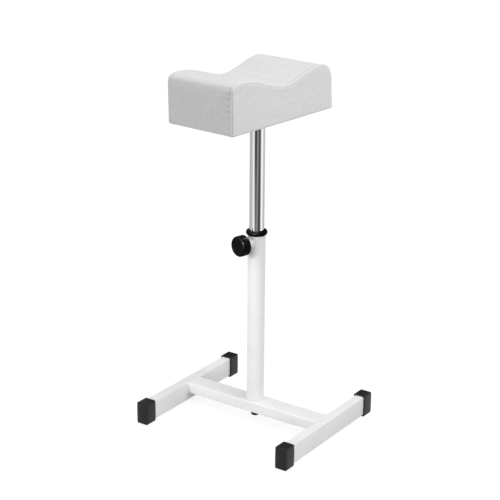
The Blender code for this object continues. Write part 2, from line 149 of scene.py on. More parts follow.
floor_material = bpy.data.materials.new("white_studio_floor")
tree = bare_tree(floor_material)
bounce = add(tree, "BsdfDiffuse", {"Color": linear("#C2C2C2")})
shade = add(tree, "BsdfDiffuse", {"Color": (floor_shade, floor_shade, floor_shade, 1)})
glow = add(tree, "Emission", {"Color": linear("#FFFFFF"), "Strength": floor_glow})
white = add(tree, "AddShader", {0: glow.outputs[0], 1: shade.outputs[0]})
top = add(tree, "MixShader", {0: seen_directly(tree), 1: bounce.outputs[0], 2: white.outputs[0]})
under = add(tree, "NewGeometry").outputs["Backfacing"]
both = add(tree, "MixShader", {0: under, 1: top.outputs[0],
                               2: add(tree, "BsdfTransparent").outputs[0]})
add(tree, "OutputMaterial", {"Surface": both.outputs[0]})
bm = bmesh.new()
bmesh.ops.create_grid(bm, x_segments=2, y_segments=2, size=floor_half)
as_object(bm, "floor", floor_material)


# Lamps. A large soft lamp high on the right gives the tops and right sides their tone.
# Three narrow ones from the front reach the floor base and the post only, and a small one
# is seen in the gloss of the knob alone, as an arc of light along its edge.
def lamp(name, kind, place, target, power, **settings):
    """A lamp of so many watts at a place, turned to its target."""
    made = linked(name, bpy.data.lights.new(name, kind))
    made.data.energy = power
    for setting, value in settings.items():
        setattr(made.data, setting, value)
    made.location = place
    made.rotation_mode = "QUATERNION"
    made.rotation_quaternion = (Vector(target) - Vector(place)).to_track_quat("-Z", "Y")
    return made


lamp("soft_lamp", "AREA", (2.35, 0.35, 3.9), (0, 0, 0.35), 60, shape="SQUARE", size=2.4)
lamp("base_lamp", "SPOT", (-0.75, -2.62, 0.92), (0, 0, 0.09), 97, spot_size=math.radians(13),
     spot_blend=0.25, shadow_soft_size=0.12)
lamp("fill_lamp", "SPOT", (1.75, -1.75, 0.42), (-0.25, 0.06, 0.05), 128,
     spot_size=math.radians(7.5), spot_blend=1.0, shadow_soft_size=0.25)
lamp("post_lamp", "SPOT", (0.30, -2.25, 0.72), (0, 0, 0.28), 13, spot_size=math.radians(5.5),
     spot_blend=0.6, shadow_soft_size=0.08)
edge_lamp = lamp("edge_lamp", "AREA", (0.03, -0.44, 0.60), (0, -0.04, 0.31), 5,
                 shape="RECTANGLE", size=0.30, size_y=0.12, spread=math.radians(35))
edge_lamp.visible_diffuse = False
edge_lamp.visible_camera = False


# Reflected studio. The chrome shows the dark room behind the camera between two bright
# panels. This ring holds those tones, and only polished surfaces see it. Each row is a
# heading in degrees from the camera's, the tone high on the ring and the tone low on it.
ring_radius, ring_height, ring_facets = 0.75, 0.75, 96
ring_low, ring_high = 0.08, 0.28
ring_tones = ((-178, 0.10, 0.10), (-168, 0.10, 0.10), (-164, 0.42, 0.42), (-152, 0.42, 0.42),
              (-148, 0.95, 0.95), (-122, 0.72, 0.74), (-96, 0.88, 0.78), (-70, 1.0, 0.95),
              (-64, 1.55, 1.5), (-50, 1.5, 1.5), (-45, 0.9, 1.45), (-34, 0.10, 0.8),
              (-25, 0.06, 0.30), (-12, 0.08, 0.26), (-4, 0.38, 0.48), (9, 0.42, 0.40),
              (18, 0.34, 0.12), (27, 0.10, 0.08), (42, 0.12, 0.08), (52, 0.5, 0.30),
              (60, 1.2, 1.2), (66, 1.6, 1.65), (90, 1.6, 1.4), (98, 0.95, 0.95),
              (130, 0.88, 0.78), (150, 0.95, 0.9), (156, 0.16, 0.16), (178, 0.10, 0.10))


def moved_verts(geometry):
    """The vertices among what an operator gives back."""
    return [item for item in geometry if isinstance(item, bmesh.types.BMVert)]


ring_material = bpy.data.materials.new("studio_panels")
tree = bare_tree(ring_material)
place = add(tree, "TexCoord").outputs["Object"]
turned = add(tree, "Mapping", {"Vector": place,
                               "Rotation": (0, 0, quarter_turn - camera_heading)})
round_share = add(tree, "TexGradient", {0: turned.outputs[0]}, gradient_type="RADIAL").outputs[1]
height = add(tree, "SeparateXYZ", {0: place}).outputs[2]
rise = add(tree, "MapRange", {0: height, 1: ring_low, 2: ring_high}).outputs[0]
tones = add(tree, "Mix", {0: rise}, data_type="RGBA")
for column, socket in ((2, 6), (1, 7)):
    ramp = add(tree, "ValToRGB", {0: round_share})
    stops = ramp.color_ramp.elements
    for number, row in enumerate(ring_tones):
        stop = stops[number] if number < 2 else stops.new(1.0)
        stop.position = 0.5 + row[0] / 360
        stop.color = (row[column], row[column], row[column], 1)
    feed(tree, tones, {socket: ramp.outputs[0]})
panel = add(tree, "Emission", {"Color": tones.outputs[2]})
add(tree, "OutputMaterial", {"Surface": panel.outputs[0]})
bm = bmesh.new()
bmesh.ops.create_circle(bm, segments=ring_facets, radius=ring_radius)
rim = bmesh.ops.extrude_edge_only(bm, edges=bm.edges[:])["geom"]
bmesh.ops.translate(bm, verts=moved_verts(rim), vec=(0, 0, ring_height))
ring = as_object(bm, "studio_ring", ring_material)
for sight in ("camera", "diffuse", "transmission", "volume_scatter", "shadow"):
    setattr(ring, "visible_" + sight, False)


# Floor rails. Two lengths of rectangular steel tube, 17.5 by 34.5 mm, with the rounded
# corners of rolled tube. White epoxy powder is sprayed on and baked.
tube_wall, tube_corner, corner_facets = 0.0015, 0.0025, 6
merge_distance = 0.000002
smooth_angle = math.radians(35)


def finish(name):
    """A new material, with its node tree, its shader and the place on the object."""
    material = bpy.data.materials.new(name)
    material.use_nodes = True
    tree = material.node_tree
    return material, tree, tree.nodes["Principled BSDF"], add(tree, "TexCoord").outputs["Object"]


def cleaned(bm):
    """The bmesh with its doubles merged and its normals out."""
    bmesh.ops.remove_doubles(bm, verts=bm.verts, dist=merge_distance)
    bmesh.ops.recalc_face_normals(bm, faces=bm.faces)
    return bm


def piece_of(name, bm, material, body, slot, *nodes):
    """The finished piece, smooth but for its hard edges. It rides on its body and stands
    for its nodes."""
    piece = as_object(cleaned(bm), name, material)
    piece.data.shade_smooth()
    piece.data.set_sharp_from_angle(angle=smooth_angle)
    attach(piece, body)
    if nodes:
        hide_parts(*nodes)
    return piece


def loop_of(bm, points):
    """A closed loop of edges through the points."""
    verts = [bm.verts.new(point) for point in points]
    return [bm.edges.new((verts[i - 1], verts[i])) for i in range(len(verts))]


def rounded_outline(width, height, radius, facets=corner_facets):
    """Corner-rounded rectangle about the origin, anticlockwise, as (across, up)."""
    points = []
    for corner, (side_x, side_y) in enumerate(((1, 1), (-1, 1), (-1, -1), (1, -1))):
        for step in range(facets + 1):
            angle = quarter_turn * (corner + step / facets)
            points.append((side_x * (width / 2 - radius) + radius * math.cos(angle),
                           side_y * (height / 2 - radius) + radius * math.sin(angle)))
    return points


def raised(bm, faces, shift):
    """Draws a region of faces out by the shift."""
    drawn = bmesh.ops.extrude_face_region(bm, geom=faces)["geom"]
    bmesh.ops.translate(bm, verts=moved_verts(drawn), vec=shift)


def rolled_tube(node, along_x):
    """A rectangular tube in the node's own box: two outlines bridged, then drawn out."""
    low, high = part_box(node)
    size, middle = high - low, (low + high) / 2
    across, length = (size.y, size.x) if along_x else (size.x, size.y)
    bm = bmesh.new()
    edges = []
    for inset in (0, tube_wall):
        outline = rounded_outline(across - 2 * inset, size.z - 2 * inset, tube_corner - inset)
        edges += loop_of(bm, [(-length / 2, side, up) for side, up in outline])
    raised(bm, bmesh.ops.bridge_loops(bm, edges=edges)["faces"], (length, 0, 0))
    turn = Matrix.Identity(4) if along_x else Matrix.Rotation(quarter_turn, 4, "Z")
    bmesh.ops.transform(bm, verts=bm.verts, matrix=Matrix.Translation(middle) @ turn)
    return bm


# Powder coat: smooth, half gloss, with a fine orange-peel ripple 1.6 mm across. The
# grit in it is 0.1 mm, drawn 0.5 mm coarse so that it shows.
powder_coat, tree, shader, place = finish("white_powder_coat")
cloud = add(tree, "TexNoise", {"Vector": place, "Scale": 1 / 0.045, "Detail": 3.0})
tone = add(tree, "MapRange", {0: cloud.outputs[0], 1: 0.35, 2: 0.65})
colour = add(tree, "Mix", {0: tone.outputs[0], 6: linear("#ECECEC"), 7: linear("#F1F1F1")},
             data_type="RGBA")
peel = add(tree, "TexNoise", {"Vector": place, "Scale": 1 / 0.0016, "Detail": 1.0})
grit = add(tree, "TexNoise", {"Vector": place, "Scale": 1 / 0.0005, "Detail": 2.0})
relief = add(tree, "Math", {0: grit.outputs[0], 1: 0.25, 2: peel.outputs[0]},
             operation="MULTIPLY_ADD")
bump = add(tree, "Bump", {"Height": relief.outputs[0], "Distance": 0.00006, "Strength": 0.6})
gloss = add(tree, "MapRange", {0: grit.outputs[0], 3: 0.42, 4: 0.52})
feed(tree, shader, {"Base Color": colour.outputs[2], "Roughness": gloss.outputs[0],
                    "Normal": bump.outputs[0], "Specular IOR Level": 0.2})

for side in ("left", "right"):
    piece_of("floor_rail_" + side, rolled_tube("rail_" + side, False), powder_coat, "base",
             "white_powder_coat", "rail_" + side)


# Crossbar. Rectangular steel tube laid flat between the rails, its top flush with theirs,
# with a clearance hole for the bolt through both walls.
full_turn = math.radians(360)
tube_facets, drill_facets = 96, 32
bolt_hole, overrun = 0.0086, 0.01


def spun(profile, facets=tube_facets):
    """The closed profile, as (radius, height), spun round Z."""
    bm = bmesh.new()
    edges = loop_of(bm, [(radius, 0, height) for radius, height in profile])
    verts = list({vert for edge in edges for vert in edge.verts})
    bmesh.ops.spin(bm, geom=verts + edges, cent=(0, 0, 0), axis=(0, 0, 1), angle=full_turn,
                   steps=facets, use_merge=True)
    bmesh.ops.remove_doubles(bm, verts=bm.verts, dist=merge_distance)
    bmesh.ops.dissolve_degenerate(bm, dist=merge_distance, edges=bm.edges)
    bmesh.ops.recalc_face_normals(bm, faces=bm.faces)
    return bm


def rod(diameter, bottom, top, facets=drill_facets):
    """A round bar about Z."""
    radius = diameter / 2
    return spun([(0, top), (radius, top), (radius, bottom), (0, bottom)], facets)


def read_back(holder):
    """What the object's modifiers make of it, as a bmesh. The object is used up."""
    ready = holder.evaluated_get(bpy.context.evaluated_depsgraph_get())
    result = bmesh.new()
    result.from_mesh(ready.to_mesh())
    bpy.data.objects.remove(holder, do_unlink=True)
    return result


def worked(bm, tool, operation="DIFFERENCE"):
    """The bmesh after a tool has cut it, joined it or trimmed it. Both are used up."""
    work, cutter = as_object(cleaned(bm), "work"), as_object(cleaned(tool), "tool")
    modifier = work.modifiers.new("work", "BOOLEAN")
    modifier.operation = operation
    modifier.solver = "EXACT"
    modifier.object = cutter
    result = read_back(work)
    bpy.data.objects.remove(cutter, do_unlink=True)
    return result


crossbar_low, crossbar_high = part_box("crossbar")
bm = worked(rolled_tube("crossbar", True),
            rod(bolt_hole, crossbar_low.z - overrun, crossbar_high.z + overrun))
piece_of("crossbar_tube", bm, powder_coat, "base", "white_powder_coat", "crossbar")


# Crossbar welds. One bead runs round each end of the crossbar, with the ripple of a hand
# weld under the powder. Along the top it is ground nearly flush with the tubes.
bead_radius, bead_ripple, bead_proud = 0.0023, 0.05, 0.0002
bead_pitch, bead_step = 0.0017, 0.0004


def cord_of(points, radii, closed, facets=10):
    """A round cord along the points: a curve with a bevel, read back as a mesh."""
    curve = bpy.data.curves.new("cord", "CURVE")
    curve.dimensions = "3D"
    curve.bevel_depth = 1.0
    curve.bevel_resolution = facets // 2 - 1
    curve.use_fill_caps = not closed
    spline = curve.splines.new("POLY")
    spline.points.add(len(points) - 1)
    spline.use_cyclic_u = closed
    for point, place, radius in zip(spline.points, points, radii):
        point.co = (*place, 1)
        point.radius = radius
    return read_back(linked("cord", curve))


def bead_of(path, radius, ripple, wave, facets=10):
    """A weld bead round the closed path, rippled once in so many of its points."""
    radii = [radius * (1 + ripple * math.cos(full_turn * i / wave)) for i in range(len(path))]
    return cord_of(path, radii, True, facets)


def run_lengths(points):
    """How far it is from each point to the next."""
    return [(b - a).length for a, b in zip(points, points[1:])]


def at_shares(points, shares):
    """Points at these shares of the length of the line through the given points."""
    points = [Vector(point) for point in points]
    lengths = run_lengths(points)
    made, index, passed = [], 0, 0.0
    for share in shares:
        wanted = share * sum(lengths)
        while index < len(lengths) - 1 and passed + lengths[index] < wanted:
            passed += lengths[index]
            index += 1
        made.append(points[index].lerp(points[index + 1],
                                       min(1, (wanted - passed) / lengths[index])))
    return made


size, middle = crossbar_high - crossbar_low, (crossbar_low + crossbar_high) / 2
outline = rounded_outline(size.y, size.z, tube_corner)
for side, name in ((-1, "left"), (1, "right")):
    rail_low, rail_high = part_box("rail_" + name)
    face = rail_high.x if side < 0 else rail_low.x
    line = [Vector((face, middle.y + y, middle.z + z)) for y, z in outline + outline[:1]]
    count = round(sum(run_lengths(line)) / bead_step)
    path = at_shares(line, [step / count for step in range(count)])
    bm = bead_of(path, bead_radius, bead_ripple, bead_pitch / bead_step)
    for vert in bm.verts:
        vert.co.z = min(vert.co.z, rail_high.z + bead_proud)
    piece_of("crossbar_weld_" + name, bm, powder_coat, "base", "white_powder_coat")


# Rail caps. Moulded black polyethylene shoes, pushed over the rails' ends. The walls are
# a little bulged, the edges rounded, and the sole has four shallow grooves for grip.
cap_corner, cap_end_edge, cap_lip_edge = 0.0017, 0.0010, 0.0005
cap_wall, cap_reach = 0.0016, 0.0216
cap_bulge, mouth_bulge_share, end_bulge_share = 0.0007, 0.55, 0.8
cap_facets, cap_edge_facets = 6, 4
cap_level_shares = (0.12, 0.25, 0.38, 0.5, 0.62, 0.75, 0.88)
groove_count, groove_start, groove_pitch = 4, 0.0045, 0.0042
groove_width, groove_depth = 0.0012, 0.0007

# Moulded polyethylene: dull black with the fine spark-eroded grain of its mould, 0.2 mm
# in truth and drawn 0.6 mm. The corners are a little greyer, painted both as rubbed wear
# and as an edge highlight.
cap_plastic, tree, shader, place = finish("black_moulded_polyethylene")
grain = add(tree, "TexNoise", {"Vector": place, "Scale": 1 / 0.0006, "Detail": 3.0})
cloud = add(tree, "TexNoise", {"Vector": place, "Scale": 1 / 0.012, "Detail": 4.0})
edge = add(tree, "NewGeometry").outputs["Pointiness"]
# Painted highlight and wear: the pointed corners are mixed towards a lighter grey.
edge_rub_and_highlight = add(tree, "MapRange", {0: edge, 1: 0.53, 2: 0.62})
wear_and_painted_highlight = add(tree, "Math", {0: edge_rub_and_highlight.outputs[0], 1: cloud.outputs[0]}, operation="MULTIPLY")
colour = add(tree, "Mix", {0: wear_and_painted_highlight.outputs[0], 6: linear("#101011"), 7: linear("#464647")},
             data_type="RGBA")
gloss = add(tree, "MapRange", {0: cloud.outputs[0], 3: 0.30, 4: 0.42})
bump = add(tree, "Bump", {"Height": grain.outputs[0], "Distance": 0.00005, "Strength": 0.6})
feed(tree, shader, {"Base Color": colour.outputs[2], "Roughness": gloss.outputs[0],
                    "Normal": bump.outputs[0], "Specular IOR Level": 0.24})


def cut_across(bm, place, normal):
    """Cuts every face that the plane crosses in two."""
    bmesh.ops.bisect_plane(bm, geom=bm.verts[:] + bm.edges[:] + bm.faces[:], dist=merge_distance,
                           plane_co=place, plane_no=normal)


def rounded_off(bm, edges, width, facets):
    """Rounds the edges over."""
    bmesh.ops.bevel(bm, geom=edges, offset=width, segments=facets, profile=0.5, affect="EDGES",
                    material=-1)


def moulded_cap(node):
    """A block with its edges rounded, bulged, hollowed for the rail and grooved below."""
    low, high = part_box(node)
    size, middle = high - low, (low + high) / 2
    outward = 1 if middle.y > 0 else -1
    mouth, end = (low.y, high.y) if outward > 0 else (high.y, low.y)
    bm = bmesh.new()
    bmesh.ops.create_cube(bm, size=1, matrix=Matrix.Translation(middle)
                          @ Matrix.Diagonal((*size, 1)))
    rounded_off(bm, [edge for edge in bm.edges
                     if abs(edge.verts[0].co.y - edge.verts[1].co.y) > size.y / 2],
                cap_corner, cap_facets)
    for plane, width in ((end, cap_end_edge), (mouth, cap_lip_edge)):
        rounded_off(bm, [edge for edge in bm.edges
                         if all(abs(vert.co.y - plane) < merge_distance for vert in edge.verts)],
                    width, cap_edge_facets)
    grooves = [mouth + outward * (groove_start + groove_pitch * number)
               for number in range(groove_count)]
    for groove in grooves:
        for shift in (-groove_width / 2, groove_width / 2):
            cut_across(bm, (0, groove + shift, 0), (0, 1, 0))
    for share in cap_level_shares:
        cut_across(bm, (0, 0, low.z + share * size.z), (0, 0, 1))
    cut_across(bm, middle, (1, 0, 0))
    for vert in bm.verts:
        across = (vert.co.x - middle.x) / (size.x / 2)
        along = (vert.co.y - mouth) / (end - mouth)
        up = (vert.co.z - middle.z) / (size.z / 2)
        swell = cap_bulge * (1 - up ** 2)
        full = math.sin(math.pi * min(along, 1))
        vert.co.x += across * swell * (mouth_bulge_share + (1 - mouth_bulge_share) * full)
        vert.co.y += (outward * end_bulge_share * swell * (1 - across ** 2)
                      * max(0, along) ** 8)
    lips = [face for face in bm.faces
            if abs(face.calc_center_median().y - mouth) < merge_distance]
    bmesh.ops.inset_region(bm, faces=lips, thickness=cap_wall - cap_lip_edge,
                           use_even_offset=True, use_boundary=True)
    raised(bm, lips, (0, outward * cap_reach, 0))
    bmesh.ops.delete(bm, geom=lips, context="FACES")
    soles = [face for face in bm.faces if face.normal.z < -0.99 and
             face.calc_center_median().z < low.z + merge_distance and
             any(abs(face.calc_center_median().y - groove) < groove_width / 3
                 for groove in grooves)]
    raised(bm, soles, (0, 0, groove_depth))
    bmesh.ops.delete(bm, geom=soles, context="FACES")
    return bm


for side in ("left", "right"):
    for end in ("near", "far"):
        piece_of(f"moulded_cap_{side}_{end}", moulded_cap(f"rail_cap_{side}_{end}"), cap_plastic,
                 "base", "black_moulded_plastic", f"rail_cap_{side}_{end}")


# Base bolt with its two washers. An M8 hexagon bolt comes up through the crossbar into
# the plug in the post's foot, over a split spring washer and a flat washer.
bolt_diameter, bolt_thread, across_flats = 0.008, 0.00125, 0.013
head_face, head_chamfer = across_flats / 2 - 0.0004, 0.0009
thread_facets, thread_depth, thread_overlap = 32, 0.6134, 0.001
thread_profile = ((0, 0), (0, 0.25), (1, 0.5625), (1, 0.6875), (0, 1))
washer_bore, washer_edge, washer_facets, washer_split = 0.0043, 0.0003, 64, 0.0012
fit_gap = 0.0003

# Black oxide on steel: a dark, faintly blue skin with a satin metal gloss.
black_oxide, tree, shader, place = finish("black_oxide_steel")
cloud = add(tree, "TexNoise", {"Vector": place, "Scale": 1 / 0.004, "Detail": 5.0})
colour = add(tree, "Mix", {0: cloud.outputs[0], 6: linear("#1B1C1F"), 7: linear("#313236")},
             data_type="RGBA")
gloss = add(tree, "MapRange", {0: cloud.outputs[0], 3: 0.32, 4: 0.5})
feed(tree, shader, {"Base Color": colour.outputs[2], "Roughness": gloss.outputs[0],
                    "Metallic": 0.8})

# Zinc plating on steel: a bright, slightly blue grey with soft spangle a few mm wide.
zinc_plate, tree, shader, place = finish("zinc_plated_steel")
spangle = add(tree, "TexVoronoi", {"Vector": place, "Scale": 1 / 0.0022})
dust = add(tree, "TexNoise", {"Vector": place, "Scale": 1 / 0.0008, "Detail": 4.0})
colour = add(tree, "Mix", {0: spangle.outputs["Distance"], 6: linear("#C9CCCE"),
                           7: linear("#B4B7B9")}, data_type="RGBA")
gloss = add(tree, "MapRange", {0: dust.outputs[0], 3: 0.24, 4: 0.42})
feed(tree, shader, {"Base Color": colour.outputs[2], "Roughness": gloss.outputs[0],
                    "Metallic": 1.0})


def threaded(diameter, pitch, bottom, top):
    """A threaded rod: the profile of one turn, as (share out, share up the pitch), spun up a
    helix, then cut flat at both ends."""
    turns = math.ceil((top - bottom) / pitch) + 2
    bm = bmesh.new()
    verts = [bm.verts.new((diameter / 2 - (1 - out) * thread_depth * pitch, 0,
                           bottom + (up - 1) * pitch)) for out, up in thread_profile]
    edges = [bm.edges.new(pair) for pair in zip(verts, verts[1:])]
    bmesh.ops.spin(bm, geom=verts + edges, cent=(0, 0, 0), axis=(0, 0, 1),
                   dvec=(0, 0, pitch / thread_facets), angle=full_turn * turns,
                   steps=thread_facets * turns, use_merge=False)
    bmesh.ops.remove_doubles(bm, verts=bm.verts, dist=merge_distance)
    for level, normal in ((bottom, (0, 0, -1)), (top, (0, 0, 1))):
        bmesh.ops.bisect_plane(bm, geom=bm.verts[:] + bm.edges[:] + bm.faces[:],
                               dist=merge_distance / 10, plane_co=(0, 0, level),
                               plane_no=normal, clear_outer=True)
        rim = [edge for edge in bm.edges if edge.is_boundary and
               all(abs(vert.co.z - level) < merge_distance for vert in edge.verts)]
        bmesh.ops.contextual_create(bm, geom=rim)
    return bm


def corner_reach(flats):
    """Middle to corner of a hexagon."""
    return flats / 2 / math.cos(full_turn / 12)


def hexagon(flats, bottom, top):
    """A six-sided bar."""
    bm = bmesh.new()
    bmesh.ops.create_circle(bm, cap_ends=True, segments=6, radius=corner_reach(flats),
                            matrix=Matrix.Translation((0, 0, bottom)))
    raised(bm, bm.faces[:], (0, 0, top - bottom))
    return bm


def round_tube(radius, bore, bottom, top, edge, facets=tube_facets):
    """A round tube about Z, its outer edges broken."""
    return spun([(radius - edge, top), (radius, top - edge), (radius, bottom + edge),
                 (radius - edge, bottom), (bore, bottom), (bore, top)], facets)


bolt_low, bolt_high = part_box("base_bolt")
head_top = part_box("base_spring_washer")[0].z - fit_gap
trim = corner_reach(across_flats) + fit_gap
bm = worked(hexagon(across_flats, bolt_low.z, head_top),
            spun([(0, bolt_low.z), (head_face, bolt_low.z), (trim, bolt_low.z + head_chamfer),
                  (trim, head_top), (0, head_top)]), "INTERSECT")
bm = worked(bm, threaded(bolt_diameter, bolt_thread, head_top - thread_overlap, bolt_high.z),
            "UNION")
piece_of("hexagon_bolt", bm, black_oxide, "base", "black_oxide_steel", "base_bolt")

for node, name in (("base_washer", "flat_washer"), ("base_spring_washer", "split_washer")):
    low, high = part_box(node)
    bm = round_tube(high.y, washer_bore, low.z, high.z, washer_edge, washer_facets)
    if name == "split_washer":
        slot = bmesh.new()
        bmesh.ops.create_cube(slot, size=1, matrix=Matrix.Translation((high.y, 0, low.z))
                              @ Matrix.Diagonal((high.y, washer_split, overrun, 1)))
        bm = worked(bm, slot)
    piece_of(name, bm, zinc_plate, "base", "zinc_plated_steel", node)


# Post. Round steel tube, 30 mm, standing on the crossbar, powder coated with the base.
# The threaded plug that the bolt pulls on is pressed into its foot.
post_wall, post_edge = 0.0012, 0.0003
clamp_bore, clamp_heading = 0.0086, math.radians(-15)
clamp_low, clamp_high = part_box("clamp_boss")
clamp_height = (clamp_low.z + clamp_high.z) / 2
clamp_axis = (Matrix.Translation((0, 0, clamp_height))
              @ Matrix.Rotation(clamp_heading, 4, "Z")
              @ Matrix.Rotation(quarter_turn, 4, "X"))


def along_clamp(bm):
    """Turns a form that was made about Z to lie along the clamp's screw."""
    bmesh.ops.transform(bm, verts=bm.verts, matrix=clamp_axis)
    return bm


def clamp_drill():
    """The drill that makes room for the clamp's screw, from the post's middle out."""
    return along_clamp(rod(clamp_bore, 0, 2 * post_radius))


def repaint(material, *nodes):
    """Gives CAD nodes that stay as they are a better finish."""
    for node in nodes:
        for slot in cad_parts[node].material_slots:
            slot.material = material


post_low, post_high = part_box("post_tube")
post_radius, post_bore = post_high.x, post_high.x - post_wall
bm = round_tube(post_radius, post_bore, post_low.z, post_high.z, post_edge)
piece_of("post_tube_coated", worked(bm, clamp_drill()), powder_coat, "base",
         "white_powder_coat", "post_tube")
repaint(zinc_plate, "post_foot_plug")


# Guide bush. A black nylon collar, round like a ring, sits on the post's rim. Its thin
# sleeve lines the post and guides the chrome column.
bush_low, bush_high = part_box("guide_bush")
bush_bore, sleeve_radius = 0.0128, 0.0135
flange_bottom = post_high.z + fit_gap
roll_trim, roll_facets = 0.0004, 20
roll = (bush_high.z - flange_bottom) / 2 - roll_trim

# Moulded nylon: black and satin, with slight flow ripples.
nylon_collar, tree, shader, place = finish("black_moulded_nylon")
flow = add(tree, "TexNoise", {"Vector": place, "Scale": 1 / 0.003, "Detail": 2.0})
colour = add(tree, "Mix", {0: flow.outputs[0], 6: linear("#070708"), 7: linear("#0C0C0D")},
             data_type="RGBA")
gloss = add(tree, "MapRange", {0: flow.outputs[0], 3: 0.48, 4: 0.58})
bump = add(tree, "Bump", {"Height": flow.outputs[0], "Distance": 0.00005, "Strength": 0.4})
feed(tree, shader, {"Base Color": colour.outputs[2], "Roughness": gloss.outputs[0],
                    "Normal": bump.outputs[0], "Specular IOR Level": 0.01})

profile = [(bush_bore, bush_low.z)]
roll_middle, roll_half = (bush_bore + bush_high.x) / 2, (bush_high.x - bush_bore) / 2
for step in range(roll_facets + 1):
    angle = (full_turn / 2) * (1 - step / roll_facets)
    profile.append((roll_middle + roll_half * math.cos(angle),
                    flange_bottom + roll + roll * math.sin(angle)))
for step in range(1, roll_facets // 2 + 1):
    angle = quarter_turn * step / (roll_facets // 2)
    profile.append((roll_middle + roll_half * math.cos(angle),
                    flange_bottom + roll - roll * math.sin(angle)))
profile += [(sleeve_radius, flange_bottom), (sleeve_radius, bush_low.z)]
piece_of("nylon_collar", worked(spun(profile), clamp_drill()), nylon_collar, "base",
         "black_moulded_plastic", "guide_bush")


# Clamp boss. A short threaded steel boss welded on the post under the collar, coated
# white with it. The bead of its weld follows the round of the post.
boss_radius, boss_end = 0.00775, post_radius + 0.0088
boss_edge, edge_bow, boss_facets = 0.0009, 0.3, 64
boss_bead, boss_bead_points = 0.0013, 120
ripple, ripple_wave = 0.06, 4

bm = along_clamp(spun([(boss_radius - boss_edge, boss_end),
                       (boss_radius - edge_bow * boss_edge, boss_end - edge_bow * boss_edge),
                       (boss_radius, boss_end - boss_edge), (boss_radius, post_bore),
                       (clamp_bore / 2, post_bore), (clamp_bore / 2, boss_end)], boss_facets))
bm = worked(bm, rod(2 * (post_radius + fit_gap), clamp_height - 2 * boss_radius,
                    clamp_height + 2 * boss_radius, tube_facets))
piece_of("threaded_boss", bm, powder_coat, "base", "white_powder_coat", "clamp_boss")

path = []
for step in range(boss_bead_points):
    turn = full_turn * step / boss_bead_points
    across, up = boss_radius * math.cos(turn), boss_radius * math.sin(turn)
    path.append(clamp_axis @ Vector((across, up, math.sqrt(post_radius ** 2 - across ** 2))))
piece_of("boss_weld", bead_of(path, boss_bead, ripple, ripple_wave, 8), powder_coat, "base",
         "white_powder_coat")


# Clamp screw. An M8 steel stud, moulded into the knob, pushes a nylon pad against the
# chrome column.
stud_start, stud_end = 0.0173, 0.0365
piece_of("threaded_stud", along_clamp(threaded(bolt_diameter, bolt_thread, stud_start, stud_end)),
         zinc_plate, "knob", "zinc_plated_steel", "clamp_stud")

# Natural nylon: milky white and waxy.
white_nylon, tree, shader, place = finish("natural_nylon")
cloud = add(tree, "TexNoise", {"Vector": place, "Scale": 1 / 0.005, "Detail": 2.0})
colour = add(tree, "Mix", {0: cloud.outputs[0], 6: linear("#E4E2D8"), 7: linear("#EFEDE4")},
             data_type="RGBA")
feed(tree, shader, {"Base Color": colour.outputs[2], "Roughness": 0.42})
repaint(white_nylon, "clamp_pad", "column_guide_ring")


# Clamp knob. A round black hand knob, 35 mm, moulded over the stud's head: shallow dish
# in the face, a rounded front edge that catches the light, plain rim, short neck.
knob_back, knob_thickness, knob_radius = 0.0262, 0.016, 0.0175
knob_front_edge, knob_back_edge, dish_edge, neck_edge = 0.0036, 0.0010, 0.0005, 0.0004
dish_radius, dish_depth = 0.0122, 0.0004
neck_radius, neck_length = 0.009, 0.0015
stud_hole = 0.0043

# Moulded phenolic: near black and satin, with very fine flow marks.
knob_phenolic, tree, shader, place = finish("black_phenolic")
flow = add(tree, "TexNoise", {"Vector": place, "Scale": 1 / 0.006, "Detail": 4.0})
haze = add(tree, "TexNoise", {"Vector": place, "Scale": 1 / 0.0009, "Detail": 2.0})
colour = add(tree, "Mix", {0: flow.outputs[0], 6: linear("#050506"), 7: linear("#09090A")},
             data_type="RGBA")
gloss = add(tree, "MapRange", {0: flow.outputs[0], 3: 0.40, 4: 0.50})
bump = add(tree, "Bump", {"Height": haze.outputs[0], "Distance": 0.00003, "Strength": 0.4})
feed(tree, shader, {"Base Color": colour.outputs[2], "Roughness": gloss.outputs[0],
                    "Normal": bump.outputs[0], "Specular IOR Level": 0.02})

face, neck = knob_back + knob_thickness, knob_back - neck_length
bm = spun([(0, face - dish_depth), (dish_radius, face - dish_depth),
           (dish_radius + dish_depth, face), (knob_radius, face), (knob_radius, knob_back),
           (neck_radius, knob_back), (neck_radius, neck), (stud_hole, neck),
           (stud_hole, stud_end + fit_gap), (0, stud_end + fit_gap)])
for radius, level, width, facets in ((knob_radius, face, knob_front_edge, 10),
                                     (knob_radius, knob_back, knob_back_edge, 3),
                                     (dish_radius + dish_depth, face, dish_edge, 3),
                                     (neck_radius, neck, neck_edge, 2)):
    rounded_off(bm, [edge for edge in bm.edges
                     if all(abs(vert.co.z - level) < merge_distance and
                            abs(vert.co.xy.length - radius) < merge_distance
                            for vert in edge.verts)], width, facets)
piece_of("hand_knob", along_clamp(bm), knob_phenolic, "knob", "black_knob_plastic", "clamp_knob")


# Chrome column. Drawn steel tube, 25 mm, nickel and chrome plated. It slides and turns in
# the bush on a white nylon ring, and a black plug closes its lower end.
column_low, column_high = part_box("column_tube")
column_radius, column_wall, column_edge = 0.0125, 0.0015, 0.0004
column_facets = 128

